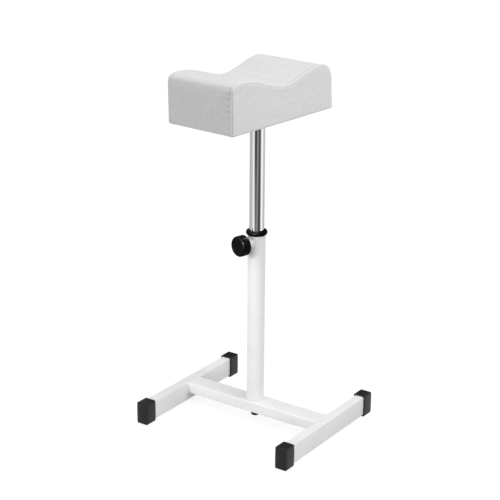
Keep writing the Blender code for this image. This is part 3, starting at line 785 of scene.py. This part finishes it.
# Chrome plate: a mirror with a very faint bluish grey, and drawing lines along the tube
# too fine to feel.
chrome, tree, shader, place = finish("chrome_plate")
stretch = add(tree, "Mapping", {"Vector": place, "Scale": (1, 1, 0.01)})
lines = add(tree, "TexNoise", {"Vector": stretch.outputs[0], "Scale": 1 / 0.0008, "Detail": 2.0})
film = add(tree, "TexNoise", {"Vector": place, "Scale": 1 / 0.03, "Detail": 3.0})
colour = add(tree, "Mix", {0: film.outputs[0], 6: linear("#C4C5C7"), 7: linear("#CACBCC")},
             data_type="RGBA")
gloss = add(tree, "MapRange", {0: film.outputs[0], 3: 0.045, 4: 0.085})
bump = add(tree, "Bump", {"Height": lines.outputs[0], "Distance": 0.000004, "Strength": 0.5})
feed(tree, shader, {"Base Color": colour.outputs[2], "Roughness": gloss.outputs[0],
                    "Normal": bump.outputs[0], "Metallic": 1.0})

bm = round_tube(column_radius, column_radius - column_wall, column_low.z, column_high.z,
                column_edge, column_facets)
piece_of("chrome_column", bm, chrome, "column", "chrome_plate", "column_tube")
repaint(nylon_collar, "column_end_plug")


# Mounting plate. Three-millimetre steel, welded on the column's top end and coated
# white, with four clearance holes. The cushion is turned 5 degrees on the column.
cushion_turn = Matrix.Rotation(math.radians(-5), 4, "Z")
plate_low, plate_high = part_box("mounting_plate")
plate_length, plate_width, plate_corner, plate_edge = 0.100, 0.070, 0.008, 0.0004
plate_bead, plate_bead_points = 0.0022, 160
screw_places = [(x, y) for y in (-0.040, 0.040) for x in (-0.025, 0.025)]
screw_hole = 0.0066


def with_cushion(bm):
    """Turns a form that was made square to the cushion as the cushion is turned."""
    bmesh.ops.transform(bm, verts=bm.verts, matrix=cushion_turn)
    return bm


def drilled(bm, middle, level, facets=drill_facets):
    """The bmesh with the plate screws' holes, drilled about a middle at a level."""
    for x, y in screw_places:
        drill = rod(screw_hole, level - overrun, level + overrun, facets)
        bmesh.ops.translate(drill, verts=drill.verts, vec=(x - middle[0], y - middle[1], 0))
        bm = worked(bm, drill)
    return bm


bm = bmesh.new()
outline = rounded_outline(plate_width, plate_length, plate_corner, 10)
edges = loop_of(bm, [(x, y, plate_low.z) for x, y in outline])
sheet = bmesh.ops.contextual_create(bm, geom=edges)["faces"]
raised(bm, sheet, (0, 0, plate_high.z - plate_low.z))
rounded_off(bm, [edge for edge in bm.edges if edge.verts[0].co.z == edge.verts[1].co.z],
            plate_edge, 2)
bm = drilled(bm, (0, 0), plate_low.z)
piece_of("steel_plate", with_cushion(bm), powder_coat, "column", "white_powder_coat",
         "mounting_plate")

turns = [full_turn * step / plate_bead_points for step in range(plate_bead_points)]
path = [(column_radius * math.cos(turn), column_radius * math.sin(turn), plate_low.z)
        for turn in turns]
piece_of("plate_weld", bead_of(path, plate_bead, ripple, ripple_wave), powder_coat, "column",
         "white_powder_coat")


# Plate screws. Four M6 button-head screws with a hexagon socket go up through the plate
# into tee nuts, which are let into the board from above.
screw_low, screw_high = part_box("plate_screw_1")
screw_diameter, screw_thread = 0.006, 0.001
head_radius, head_height, head_rim = 0.00575, 0.0034, 0.0005
crown_radius, crown_facets, head_facets = 0.0026, 7, 48
socket_flats, socket_depth = 0.004, 0.002

bearing = screw_low.z + head_height
rim = bearing - head_rim
crown = [(head_radius, rim)]
for step in range(1, crown_facets):
    turn = quarter_turn * step / crown_facets
    crown.append((crown_radius + (head_radius - crown_radius) * math.cos(turn),
                  rim - (head_height - head_rim) * math.sin(turn)))
head = spun([(0, bearing), (head_radius, bearing), *crown, (crown_radius, screw_low.z),
             (0, screw_low.z)], head_facets)
socket = hexagon(socket_flats, screw_low.z - socket_depth, screw_low.z + socket_depth)
screw = worked(worked(head, socket), threaded(screw_diameter, screw_thread, rim, screw_high.z),
               "UNION")
for number, (x, y) in enumerate(screw_places, 1):
    bm = screw.copy()
    bmesh.ops.translate(bm, verts=bm.verts, vec=(x, y, 0))
    piece_of(f"button_screw_{number}", with_cushion(bm), zinc_plate, "column",
             "zinc_plated_steel", f"plate_screw_{number}")
screw.free()
repaint(zinc_plate, "tee_nut_1", "tee_nut_2", "tee_nut_3", "tee_nut_4")


# Board. Twelve-millimetre birch plywood inside the pad, that the cover is stapled to.
# Birch veneer is 1.4 mm thick, pale, with close grain along the face plies.
veneer = 0.0014
plywood, tree, shader, place = finish("birch_plywood")
parts = add(tree, "SeparateXYZ", {0: place})
ply = add(tree, "Math", {0: parts.outputs[2], 1: full_turn / 2 / veneer}, operation="MULTIPLY")
band = add(tree, "Math", {0: ply.outputs[0]}, operation="SINE")
layer = add(tree, "MapRange", {0: band.outputs[0], 1: -0.2, 2: 0.2})
stretch = add(tree, "Mapping", {"Vector": place, "Scale": (1, 0.05, 1)})
grain = add(tree, "TexNoise", {"Vector": stretch.outputs[0], "Scale": 1 / 0.002, "Detail": 5.0})
dark = add(tree, "Mix", {0: grain.outputs[0], 6: linear("#B58E5E"), 7: linear("#C9A678")},
           data_type="RGBA")
pale = add(tree, "Mix", {0: grain.outputs[0], 6: linear("#D2B488"), 7: linear("#E2CBA4")},
           data_type="RGBA")
colour = add(tree, "Mix", {0: layer.outputs[0], 6: dark.outputs[2], 7: pale.outputs[2]},
             data_type="RGBA")
feed(tree, shader, {"Base Color": colour.outputs[2], "Roughness": 0.62})
repaint(plywood, "cushion_board")


# Upholstered pad. Shaped foam on the board under white leathercloth: one strip over both
# ends and the wavy top, and a flat panel each side, sewn with a corded seam. The cover is
# pulled tight and stapled under the board.
pad_length, pad_width = 0.2545, 0.1335
pad_place = Vector((-0.0072, -0.0052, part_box("cushion_cover")[0].z))
crest_places, crest_heights = (-0.100, 0.094), (0.0815, 0.0775)
valley_place, valley_height = 0.0045, 0.0595
corner_drops, corner_powers = (0.019, 0.040), (3.4, 2.5)
end_leans = (-0.0010, 0.0030)
top_length, end_height, panel_pitch = 0.230, 0.066, 0.0042
corner_steps, end_steps, wave_steps = 40, 13, 200
seam_margins = (0.0, 0.0015, 0.0035, 0.0070)
bottom_bow, bow_height = 0.0014, 0.05
bottom_round, round_reach = 0.0035, 0.012
hem_steps = (0.0025, 0.006, 0.012, 0.022)
pin_height, side_margin = 0.001, 0.0005
cover_pressure, cover_frames = 4.0, 20
strip_reach, side_reach = 0.0020, 0.0042


def wave(place):
    """Height of the pad's top between its two crests."""
    side = 0 if place < valley_place else 1
    turn = full_turn / 2 * abs(place - valley_place) / abs(crest_places[side] - valley_place)
    return valley_height + (crest_heights[side] - valley_height) * (1 - math.cos(turn)) / 2


def corner(side, share):
    """The rounded corner beyond a crest, from share 0 at the crest to 1 at the pad's end."""
    turn = quarter_turn * share
    power = 2 / corner_powers[side]
    reach = pad_length / 2 - end_leans[side] - abs(crest_places[side])
    along = abs(crest_places[side]) + reach * math.sin(turn) ** power
    level = crest_heights[side] - corner_drops[side] * (1 - math.cos(turn) ** power)
    return along * (side * 2 - 1), level


def graded(length):
    """Shares of a panel's width: close together at both edges, then evenly spaced."""
    inner = length - 2 * seam_margins[-1]
    count = round(inner / panel_pitch)
    middle = [seam_margins[-1] + inner * step / count for step in range(1, count)]
    places = [*seam_margins, *middle, *[length - margin for margin in reversed(seam_margins)]]
    return [place / length for place in places]


corner_shares = [step / corner_steps for step in range(corner_steps, -1, -1)]
near_corner, far_corner = [[corner(side, share) for share in corner_shares]
                           for side in (0, 1)]
crest_gap = crest_places[1] - crest_places[0]
waves = [crest_places[0] + crest_gap * step / wave_steps for step in range(1, wave_steps)]
top_line = (near_corner[end_steps:] + [(place, wave(place)) for place in waves]
            + far_corner[end_steps:][::-1])
along_shares, up_shares, across_shares = map(graded, (top_length, end_height, pad_width))
top_edge = at_shares(top_line, along_shares)
near_edge = at_shares([(-pad_length / 2, 0)] + near_corner[:end_steps + 1], up_shares)
far_edge = at_shares([(pad_length / 2, 0)] + far_corner[:end_steps + 1], up_shares)
bottom_edge = [Vector(((share - 0.5) * pad_length, 0)) for share in along_shares]
strip_path = near_edge + top_edge[1:-1] + far_edge[::-1]


def side_point(column, row):
    """A side panel's point, blended between its four edges."""
    u, v = along_shares[column], up_shares[row]
    ends = (1 - u) * near_edge[row] + u * far_edge[row]
    level = (1 - v) * bottom_edge[column] + v * top_edge[column]
    corners = ((1 - u) * (1 - v) * bottom_edge[0] + u * (1 - v) * bottom_edge[-1]
               + (1 - u) * v * top_edge[0] + u * v * top_edge[-1])
    return ends + level - corners


def panel(bm, columns, rows, place):
    """A grid of faces, each corner of it put where place(column, row) says."""
    made = bmesh.ops.create_grid(bm, x_segments=columns, y_segments=rows, size=1)["verts"]
    for vert in made:
        vert.co = place(round((vert.co.x + 1) / 2 * columns), round((vert.co.y + 1) / 2 * rows))


def drawn_in(bm, rim, before, inset, rise=0):
    """The open rim drawn inwards from one inset to the next, and raised. Gives the new rim."""
    grown = bmesh.ops.extrude_edge_only(bm, edges=rim)["geom"]
    shrink = [(size / 2 - inset) / (size / 2 - before) for size in (pad_width, pad_length)]
    bmesh.ops.scale(bm, verts=moved_verts(grown), vec=(*shrink, 1))
    bmesh.ops.translate(bm, verts=moved_verts(grown), vec=(0, 0, rise))
    return [item for item in grown if isinstance(item, bmesh.types.BMEdge) and item.is_boundary]


bm = bmesh.new()
panel(bm, len(strip_path) - 1, len(across_shares) - 1,
      lambda i, j: ((across_shares[j] - 0.5) * pad_width, *strip_path[i]))
for side in (-1, 1):
    panel(bm, len(along_shares) - 1, len(up_shares) - 1,
          lambda i, j: (side * pad_width / 2, *side_point(i, j)))
bmesh.ops.remove_doubles(bm, verts=bm.verts, dist=10 * merge_distance)
bmesh.ops.recalc_face_normals(bm, faces=bm.faces)
if sum(face.normal.z for face in bm.faces if abs(face.calc_center_median().x) < panel_pitch) < 0:
    bmesh.ops.reverse_faces(bm, faces=bm.faces)
for vert in bm.verts:
    if abs(abs(vert.co.x) - pad_width / 2) < merge_distance:
        low_share = max(0, 1 - vert.co.z / bow_height)
        end_share = 2 * vert.co.y / pad_length
        vert.co.x += math.copysign(bottom_bow, vert.co.x) * low_share ** 2 * (1 - end_share ** 2)
hem = [edge for edge in bm.edges if edge.is_boundary]
for before, inset in zip((0.0, *hem_steps), hem_steps):
    hem = drawn_in(bm, hem, before, inset)

# The hem on the board and both seam lines are pinned. The seam group and the run along
# the seam are carried through the smoothing, to find the seams again.
bm.verts.ensure_lookup_table()
groups = bm.verts.layers.deform.verify()
PINS, SEAM, RUN = 0, 1, 2
for vert in bm.verts:
    if vert.co.z < pin_height:
        vert[groups][PINS] = 1.0
for side in (-1, 1):
    for number, (y, z) in enumerate(strip_path):
        edge_place = Vector((side * pad_width / 2, y, z))
        found = min(bm.verts, key=lambda vert: (vert.co - edge_place).length_squared)
        found[groups][PINS] = 1.0
        found[groups][SEAM] = 1.0
        found[groups][RUN] = number / (len(strip_path) - 1)


def held_object(bm, name):
    """A passing object of the bmesh, with its vertex groups, for a modifier to work on."""
    holder = as_object(bm, name)
    for group in ("pins", "seam", "run"):
        holder.vertex_groups.new(name=group)
    return holder


def inflated(bm, pressure, frames):
    """Cloth under pressure, its seams and hem held: how far each point moves."""
    holder = held_object(bm.copy(), "inflated")
    cloth = holder.modifiers.new("cloth", "CLOTH")
    cloth.settings.quality = 6
    cloth.settings.mass = 0.3
    cloth.settings.tension_stiffness = 30
    cloth.settings.compression_stiffness = 30
    cloth.settings.shear_stiffness = 12
    cloth.settings.bending_stiffness = 1.5
    cloth.settings.use_pressure = True
    cloth.settings.uniform_pressure_force = pressure
    cloth.settings.vertex_group_mass = "pins"
    cloth.settings.effector_weights.gravity = 0
    cloth.point_cache.frame_start = 1
    cloth.point_cache.frame_end = frames
    for frame_number in range(1, frames + 1):
        bpy.context.scene.frame_set(frame_number)
    ready = read_back(holder)
    bpy.context.scene.frame_set(1)
    return [after.co - before.co for after, before in zip(ready.verts, bm.verts)]


moved = inflated(bm, cover_pressure, cover_frames)
for vert, shift in zip(bm.verts, moved):
    on_side = abs(vert.co.x) > pad_width / 2 - side_margin
    reach = side_reach if on_side else strip_reach
    if shift.length > 0:
        vert.co += shift * (reach * math.tanh(shift.length / reach) / shift.length)

holder = held_object(bm, "rounded")
rounded = holder.modifiers.new("rounded", "SUBSURF")
rounded.levels = rounded.render_levels = 2
bm = read_back(holder)
groups = bm.verts.layers.deform.verify()
for vert in bm.verts:
    low = max(0.0, bottom_round - vert.co.z)
    drawn = bottom_round - math.sqrt(bottom_round ** 2 - low ** 2)
    for axis, half in ((0, pad_width / 2), (1, pad_length / 2)):
        share = 1 - max(0.0, half - abs(vert.co[axis])) / round_reach
        if share > 0:
            vert.co[axis] -= math.copysign(drawn * share, vert.co[axis])
bm.normal_update()

# The corded seam draws the cover in along both edges of the strip, with small puckers
# where it turns the corners. The groove beside the cord lies on the strip over the top
# and on the side panel down the ends. The photo shows both on the right seam; the left
# one, of which it shows an even outline, is drawn in less. Between the seams the cover
# swells and is a little uneven.
seam_shows, seam_weight = {-1: 0.3, 1: 1.0}, 0.995
strip_edge, pucker_foot, flat_foot = 0.0012, 0.006, 0.0005
dip_depth, dip_place, dip_width = 0.0010, 0.0043, 0.0013
end_dip_depth, end_dip_place, end_dip_width, dip_turn = 0.0004, 0.0002, 0.0013, 0.012
seam_roll, roll_place, roll_width = 0.00030, 0.0065, 0.0026
pucker_depth, pucker_pitch, pucker_reach, pucker_start = 0.0020, 0.0095, 0.0080, 0.003
pucker_middle, pucker_half, pucker_everywhere = 0.018, 0.021, 0.12
pucker_sharpness, pucker_beside = 1.5, 0.08
wander_rate, wander_apart, wander_turn = 60, 7.0, 2.2
painted_shade_puckered, painted_shade_end, painted_shade_tuck = 0.6, 0.55, 0.35
sag_depth, sag_size, sag_start = 0.00035, 0.030, 0.01


def hump(distance, middle, width):
    """A smooth hump, 1 high at its middle."""
    return math.exp(-((distance - middle) / width) ** 2)


seams, samples = {}, []
for side in (-1, 1):
    found = [vert for vert in bm.verts if vert[groups].get(SEAM, 0) > seam_weight
             and vert.co.x * side > 0]
    found.sort(key=lambda vert: vert[groups].get(RUN, 0))
    seams[side] = [(vert.co.copy(), vert.normal.copy()) for vert in found]
    run = 0.0
    for (a, _), (b, _) in zip(seams[side], seams[side][1:]):
        for share in (0, 0.25, 0.5, 0.75):
            samples.append((a.lerp(b, share), side, run + (b - a).length * share))
        run += (b - a).length
finder = kdtree.KDTree(len(samples))
for number, sample in enumerate(samples):
    finder.insert(sample[0], number)
finder.balance()
near_top = sum(run_lengths(near_edge))
whole = max(sample[2] for sample in samples)
pucker_places = (near_top - pucker_middle, whole - near_top + pucker_middle)
groove = bm.verts.layers.float.new("groove")
shifts = []
for vert in bm.verts:
    _, number, distance = finder.find(vert.co)
    _, side, run = samples[number]
    shows = seam_shows[side]
    on_strip = abs(vert.co.x) < pad_width / 2 - strip_edge
    over_top = min(1.0, max(0.0, (min(run, whole - run) - near_top) / dip_turn + 1.0))
    dip = shows * over_top * on_strip * hump(distance, dip_place, dip_width)
    end_dip = shows * (1 - over_top) * (not on_strip) \
        * hump(distance, end_dip_place, end_dip_width)
    strength = pucker_everywhere + sum(math.exp(-((run - place) / pucker_half) ** 4)
                                       for place in pucker_places)
    strength *= 0.0 if vert.co.z < pucker_foot else shows ** 2
    fade = (math.exp(-max(0.0, distance - dip_place) / pucker_reach)
            * min(1, distance / pucker_start))
    wander = noise.noise(Vector((run * wander_rate, side * wander_apart, 0.0)))
    fold = max(0.0, math.sin(full_turn * run / pucker_pitch + wander_turn * wander))
    tuck = (1.0 if on_strip else pucker_beside) * strength * fade * fold ** pucker_sharpness
    shift = (seam_roll * hump(distance, roll_place, roll_width) - dip_depth * dip
             - end_dip_depth * end_dip - pucker_depth * tuck
             + sag_depth * noise.noise(vert.co / sag_size) * min(1, distance / sag_start))
    # Painted shade: the groove attribute darkens the colour in the groove beside the cord and in
    # the puckers.
    vert[groove] = (1.0 + painted_shade_puckered * strength) * dip + painted_shade_end * end_dip + painted_shade_tuck * tuck
    shifts.append(vert.normal * (0.0 if vert.co.z < flat_foot else shift))
for vert, shift in zip(bm.verts, shifts):
    vert.co += shift

# Inside the hem the pad is open for the board, which keeps its own solid.
board_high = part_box("cushion_board")[1]
board_inset, hem_thickness = 0.0054, 0.001
before, level = hem_steps[-1], 0.0
rim = [edge for edge in bm.edges if edge.is_boundary]
for inset, height in ((before, hem_thickness), (board_inset, hem_thickness),
                      (board_inset, board_high.z - pad_place.z + fit_gap)):
    rim = drawn_in(bm, rim, before, inset, height - level)
    before, level = inset, height
bmesh.ops.contextual_create(bm, geom=rim)

# Leathercloth: PVC on a knitted back, embossed with a fine pebble grain about 1 mm
# across, drawn 2 mm with a fainter 5 mm mottle so that it shows. A soft low gloss. Painted
# shade makes the grain's creases a little darker and draws a darker line in the groove
# beside the cord and in the puckers; a painted highlight makes the cord a little paler.
leathercloth, tree, shader, place = finish("white_leathercloth")
bend = add(tree, "TexNoise", {"Vector": place, "Scale": 1 / 0.004, "Detail": 2.0})
warp = add(tree, "VectorMath", {0: bend.outputs[1], 1: (0.0016, 0.0016, 0.0016)},
           operation="MULTIPLY")
bent = add(tree, "VectorMath", {0: place, 1: warp.outputs[0]}, operation="ADD")
pebble = add(tree, "TexVoronoi", {"Vector": bent.outputs[0], "Scale": 1 / 0.0020},
             feature="DISTANCE_TO_EDGE")
crease = add(tree, "MapRange", {0: pebble.outputs[0], 1: 0.0, 2: 0.16})
pore = add(tree, "TexNoise", {"Vector": place, "Scale": 1 / 0.0008, "Detail": 3.0})
relief = add(tree, "Math", {0: pore.outputs[0], 1: 0.5, 2: crease.outputs[0]},
             operation="MULTIPLY_ADD")
bump = add(tree, "Bump", {"Height": relief.outputs[0], "Distance": 0.00011, "Strength": 0.5})
mottle = add(tree, "TexNoise", {"Vector": place, "Scale": 1 / 0.006, "Detail": 4.0,
                                "Roughness": 0.6})
tone = add(tree, "MapRange", {0: mottle.outputs[0], 1: 0.36, 2: 0.64})
colour = add(tree, "Mix", {0: tone.outputs[0], 6: linear("#E9E9E9"), 7: linear("#F0F0F0")},
             data_type="RGBA")
# Painted shade: the grain's creases and the groove beside the cord are darkened in the colour.
crease_painted_shade = add(tree, "Math", {0: crease.outputs[0], 1: 0.08, 2: 0.92}, operation="MULTIPLY_ADD")
painted_groove_shade = add(tree, "Attribute", attribute_name="groove").outputs["Fac"]
line = add(tree, "Math", {0: painted_groove_shade, 1: -0.36, 2: crease_painted_shade.outputs[0]}, operation="MULTIPLY_ADD")
shade = add(tree, "VectorMath", {0: colour.outputs[2], 1: line.outputs[0]}, operation="MULTIPLY")
gloss = add(tree, "MapRange", {0: crease.outputs[0], 3: 0.62, 4: 0.48})
feed(tree, shader, {"Base Color": shade.outputs[0], "Roughness": gloss.outputs[0],
                    "Normal": bump.outputs[0], "Specular IOR Level": 0.35})


def cushion_placed(bm):
    """Puts a form made about the pad's own middle, on its bottom, where the pad is."""
    bmesh.ops.translate(bm, verts=bm.verts, vec=pad_place)
    return with_cushion(bm)


pad = piece_of("upholstered_pad", cushion_placed(bm), leathercloth, "column",
               "pale_vinyl_leather", "cushion_cover", "cushion_foam")


# Corded seams. A 2.8 mm cord sewn into a folded strip of the same leathercloth, caught in
# each side seam from hem to hem. Its ends are tucked in under the pad. The cord lies just
# inside the edge, and its colour is painted a little paler, as a highlight.
cord_radius, cord_inset, cord_facets = 0.0014, 0.0025, 12
cord_lifts = {-1: -0.0010, 1: 0.0}
cord_start = 0.0016
cord_unevenness, unevenness_rate, cord_painted_highlight = 0.03, 90, -0.12
tucks = ((0.0025, -0.0001), (0.006, 0.003))

for side, name, node in ((-1, "corded_seam_left", "cushion_piping_left"),
                         (1, "corded_seam_right", "cushion_piping_right")):
    line = [point + Vector((-side * cord_inset, 0, 0))
            + Vector((0, normal.y, normal.z)).normalized() * cord_lifts[side]
            for point, normal in seams[side] if point.z > cord_start]
    near_end, far_end = line[0], line[-1]
    for inward, up in tucks:
        line.insert(0, near_end + Vector((-side * inward, inward, up)))
        line.append(far_end + Vector((-side * inward, -inward, up)))
    radii = [cord_radius * (1 + cord_unevenness * noise.noise(point * unevenness_rate))
             for point in line]
    bm = cord_of(line, radii, False, cord_facets)
    groove = bm.verts.layers.float.new("groove")
    # Painted highlight: the cord's colour is made a little paler.
    for vert in bm.verts:
        vert[groove] = cord_painted_highlight
    cord = piece_of(name, cushion_placed(bm), leathercloth, "column", "pale_vinyl_leather", node)


# Dust cover. Thin black spun-bonded cloth over the board's underside and the inner edge
# of the cover's hem, held stretched by a row of staples near its edge.
cloth_width, cloth_length, cloth_corner, cloth_thickness = 0.1055, 0.2265, 0.008, 0.0004
cloth_columns, cloth_rows = 56, 120
cloth_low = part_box("cushion_dust_cover")[0]
cloth_clear, plate_clear = 0.00005, 0.002
cloth_level = cloth_low.z + cloth_clear
edge_pull, edge_power = 0.0008, 12
cloth_sag, sag_rise, sag_least, sag_spread, sag_rates = 0.0006, 0.010, 0.6, 0.8, (30, 22)
staple_inset, staple_hold = 0.0045, 0.014
staple_long, long_margin = 9, 0.030
staple_short, short_margin = 5, 0.020
staple_crown, staple_wire, staple_rise, staple_edge = 0.010, 0.0009, 0.0005, 0.00018

# Spun-bonded polypropylene: dull black fibres, with bonding dots 1.2 mm apart.
dust_cloth, tree, shader, place = finish("black_spunbonded_cloth")
dots = add(tree, "TexVoronoi", {"Vector": place, "Scale": 1 / 0.0012, "Randomness": 0.15})
fibres = add(tree, "TexNoise", {"Vector": place, "Scale": 1 / 0.0007, "Detail": 4.0,
                                "Distortion": 2.0})
spot = add(tree, "MapRange", {0: dots.outputs["Distance"], 1: 0.25, 2: 0.4})
colour = add(tree, "Mix", {0: fibres.outputs[0], 6: linear("#161617"), 7: linear("#2A2A2B")},
             data_type="RGBA")
height = add(tree, "Math", {0: fibres.outputs[0], 1: 0.4, 2: spot.outputs[0]},
             operation="MULTIPLY_ADD")
bump = add(tree, "Bump", {"Height": height.outputs[0], "Distance": 0.0001, "Strength": 0.7})
feed(tree, shader, {"Base Color": colour.outputs[2], "Roughness": 0.85,
                    "Normal": bump.outputs[0], "Specular IOR Level": 0.2})

half_width, half_length = cloth_width / 2, cloth_length / 2
staple_level = cloth_low.z - cloth_clear
staples = []
for step in range(staple_long):
    y = (step / (staple_long - 1) - 0.5) * (cloth_length - long_margin)
    staples += [(side * (half_width - staple_inset), y, True) for side in (-1, 1)]
for step in range(1, staple_short - 1):
    x = (step / (staple_short - 1) - 0.5) * (cloth_width - short_margin)
    staples += [(x, side * (half_length - staple_inset), False) for side in (-1, 1)]

bm = bmesh.new()
bmesh.ops.create_grid(bm, x_segments=cloth_columns, y_segments=cloth_rows, size=0.5)
for vert in bm.verts:
    x, y = vert.co.x * cloth_width, vert.co.y * cloth_length
    over_x = (abs(x) - half_width + cloth_corner) / cloth_corner
    over_y = (abs(y) - half_length + cloth_corner) / cloth_corner
    if over_x > 0 and over_y > 0:
        pull = 1 - max(over_x, over_y) / math.hypot(over_x, over_y)
        x -= math.copysign(over_x * pull * cloth_corner, x)
        y -= math.copysign(over_y * pull * cloth_corner, y)
    held = min(math.hypot(x - staple_x, y - staple_y) for staple_x, staple_y, _ in staples)
    loose = min(1.0, held / staple_hold)
    rim = max(abs(x) / half_width, abs(y) / half_length) ** edge_power
    x *= 1 - edge_pull * rim * loose / half_width
    y *= 1 - edge_pull * rim * loose / half_length
    clear = max(abs(x) - plate_width / 2, abs(y) - plate_length / 2) - plate_clear
    spread = noise.noise(Vector((x * sag_rates[0], y * sag_rates[1], 0.0)))
    unevenness = sag_least + sag_spread * spread
    sag = cloth_sag * loose * min(1, max(0, clear) / sag_rise) * unevenness
    vert.co = (x, y, cloth_level + cloth_thickness / 2 - max(0, sag))
bmesh.ops.recalc_face_normals(bm, faces=bm.faces)
bmesh.ops.solidify(bm, geom=bm.faces[:], thickness=cloth_thickness)
bm = drilled(bm, pad_place, cloth_level, 24)
bmesh.ops.translate(bm, verts=bm.verts, vec=(pad_place.x, pad_place.y, 0))
cloth = piece_of("stapled_dust_cloth", with_cushion(bm), dust_cloth, "column",
                 "black_dust_cloth", "cushion_dust_cover")

bm = bmesh.new()
for x, y, upright in staples:
    size = (staple_wire, staple_crown) if upright else (staple_crown, staple_wire)
    bmesh.ops.create_cube(bm, size=1, matrix=Matrix.Translation((x, y, staple_level))
                          @ Matrix.Diagonal((*size, staple_rise, 1)))
rounded_off(bm, bm.edges[:], staple_edge, 2)
bmesh.ops.translate(bm, verts=bm.verts, vec=(pad_place.x, pad_place.y, 0))
wires = piece_of("dust_cloth_staples", with_cushion(bm), zinc_plate, "column",
                 "zinc_plated_steel")
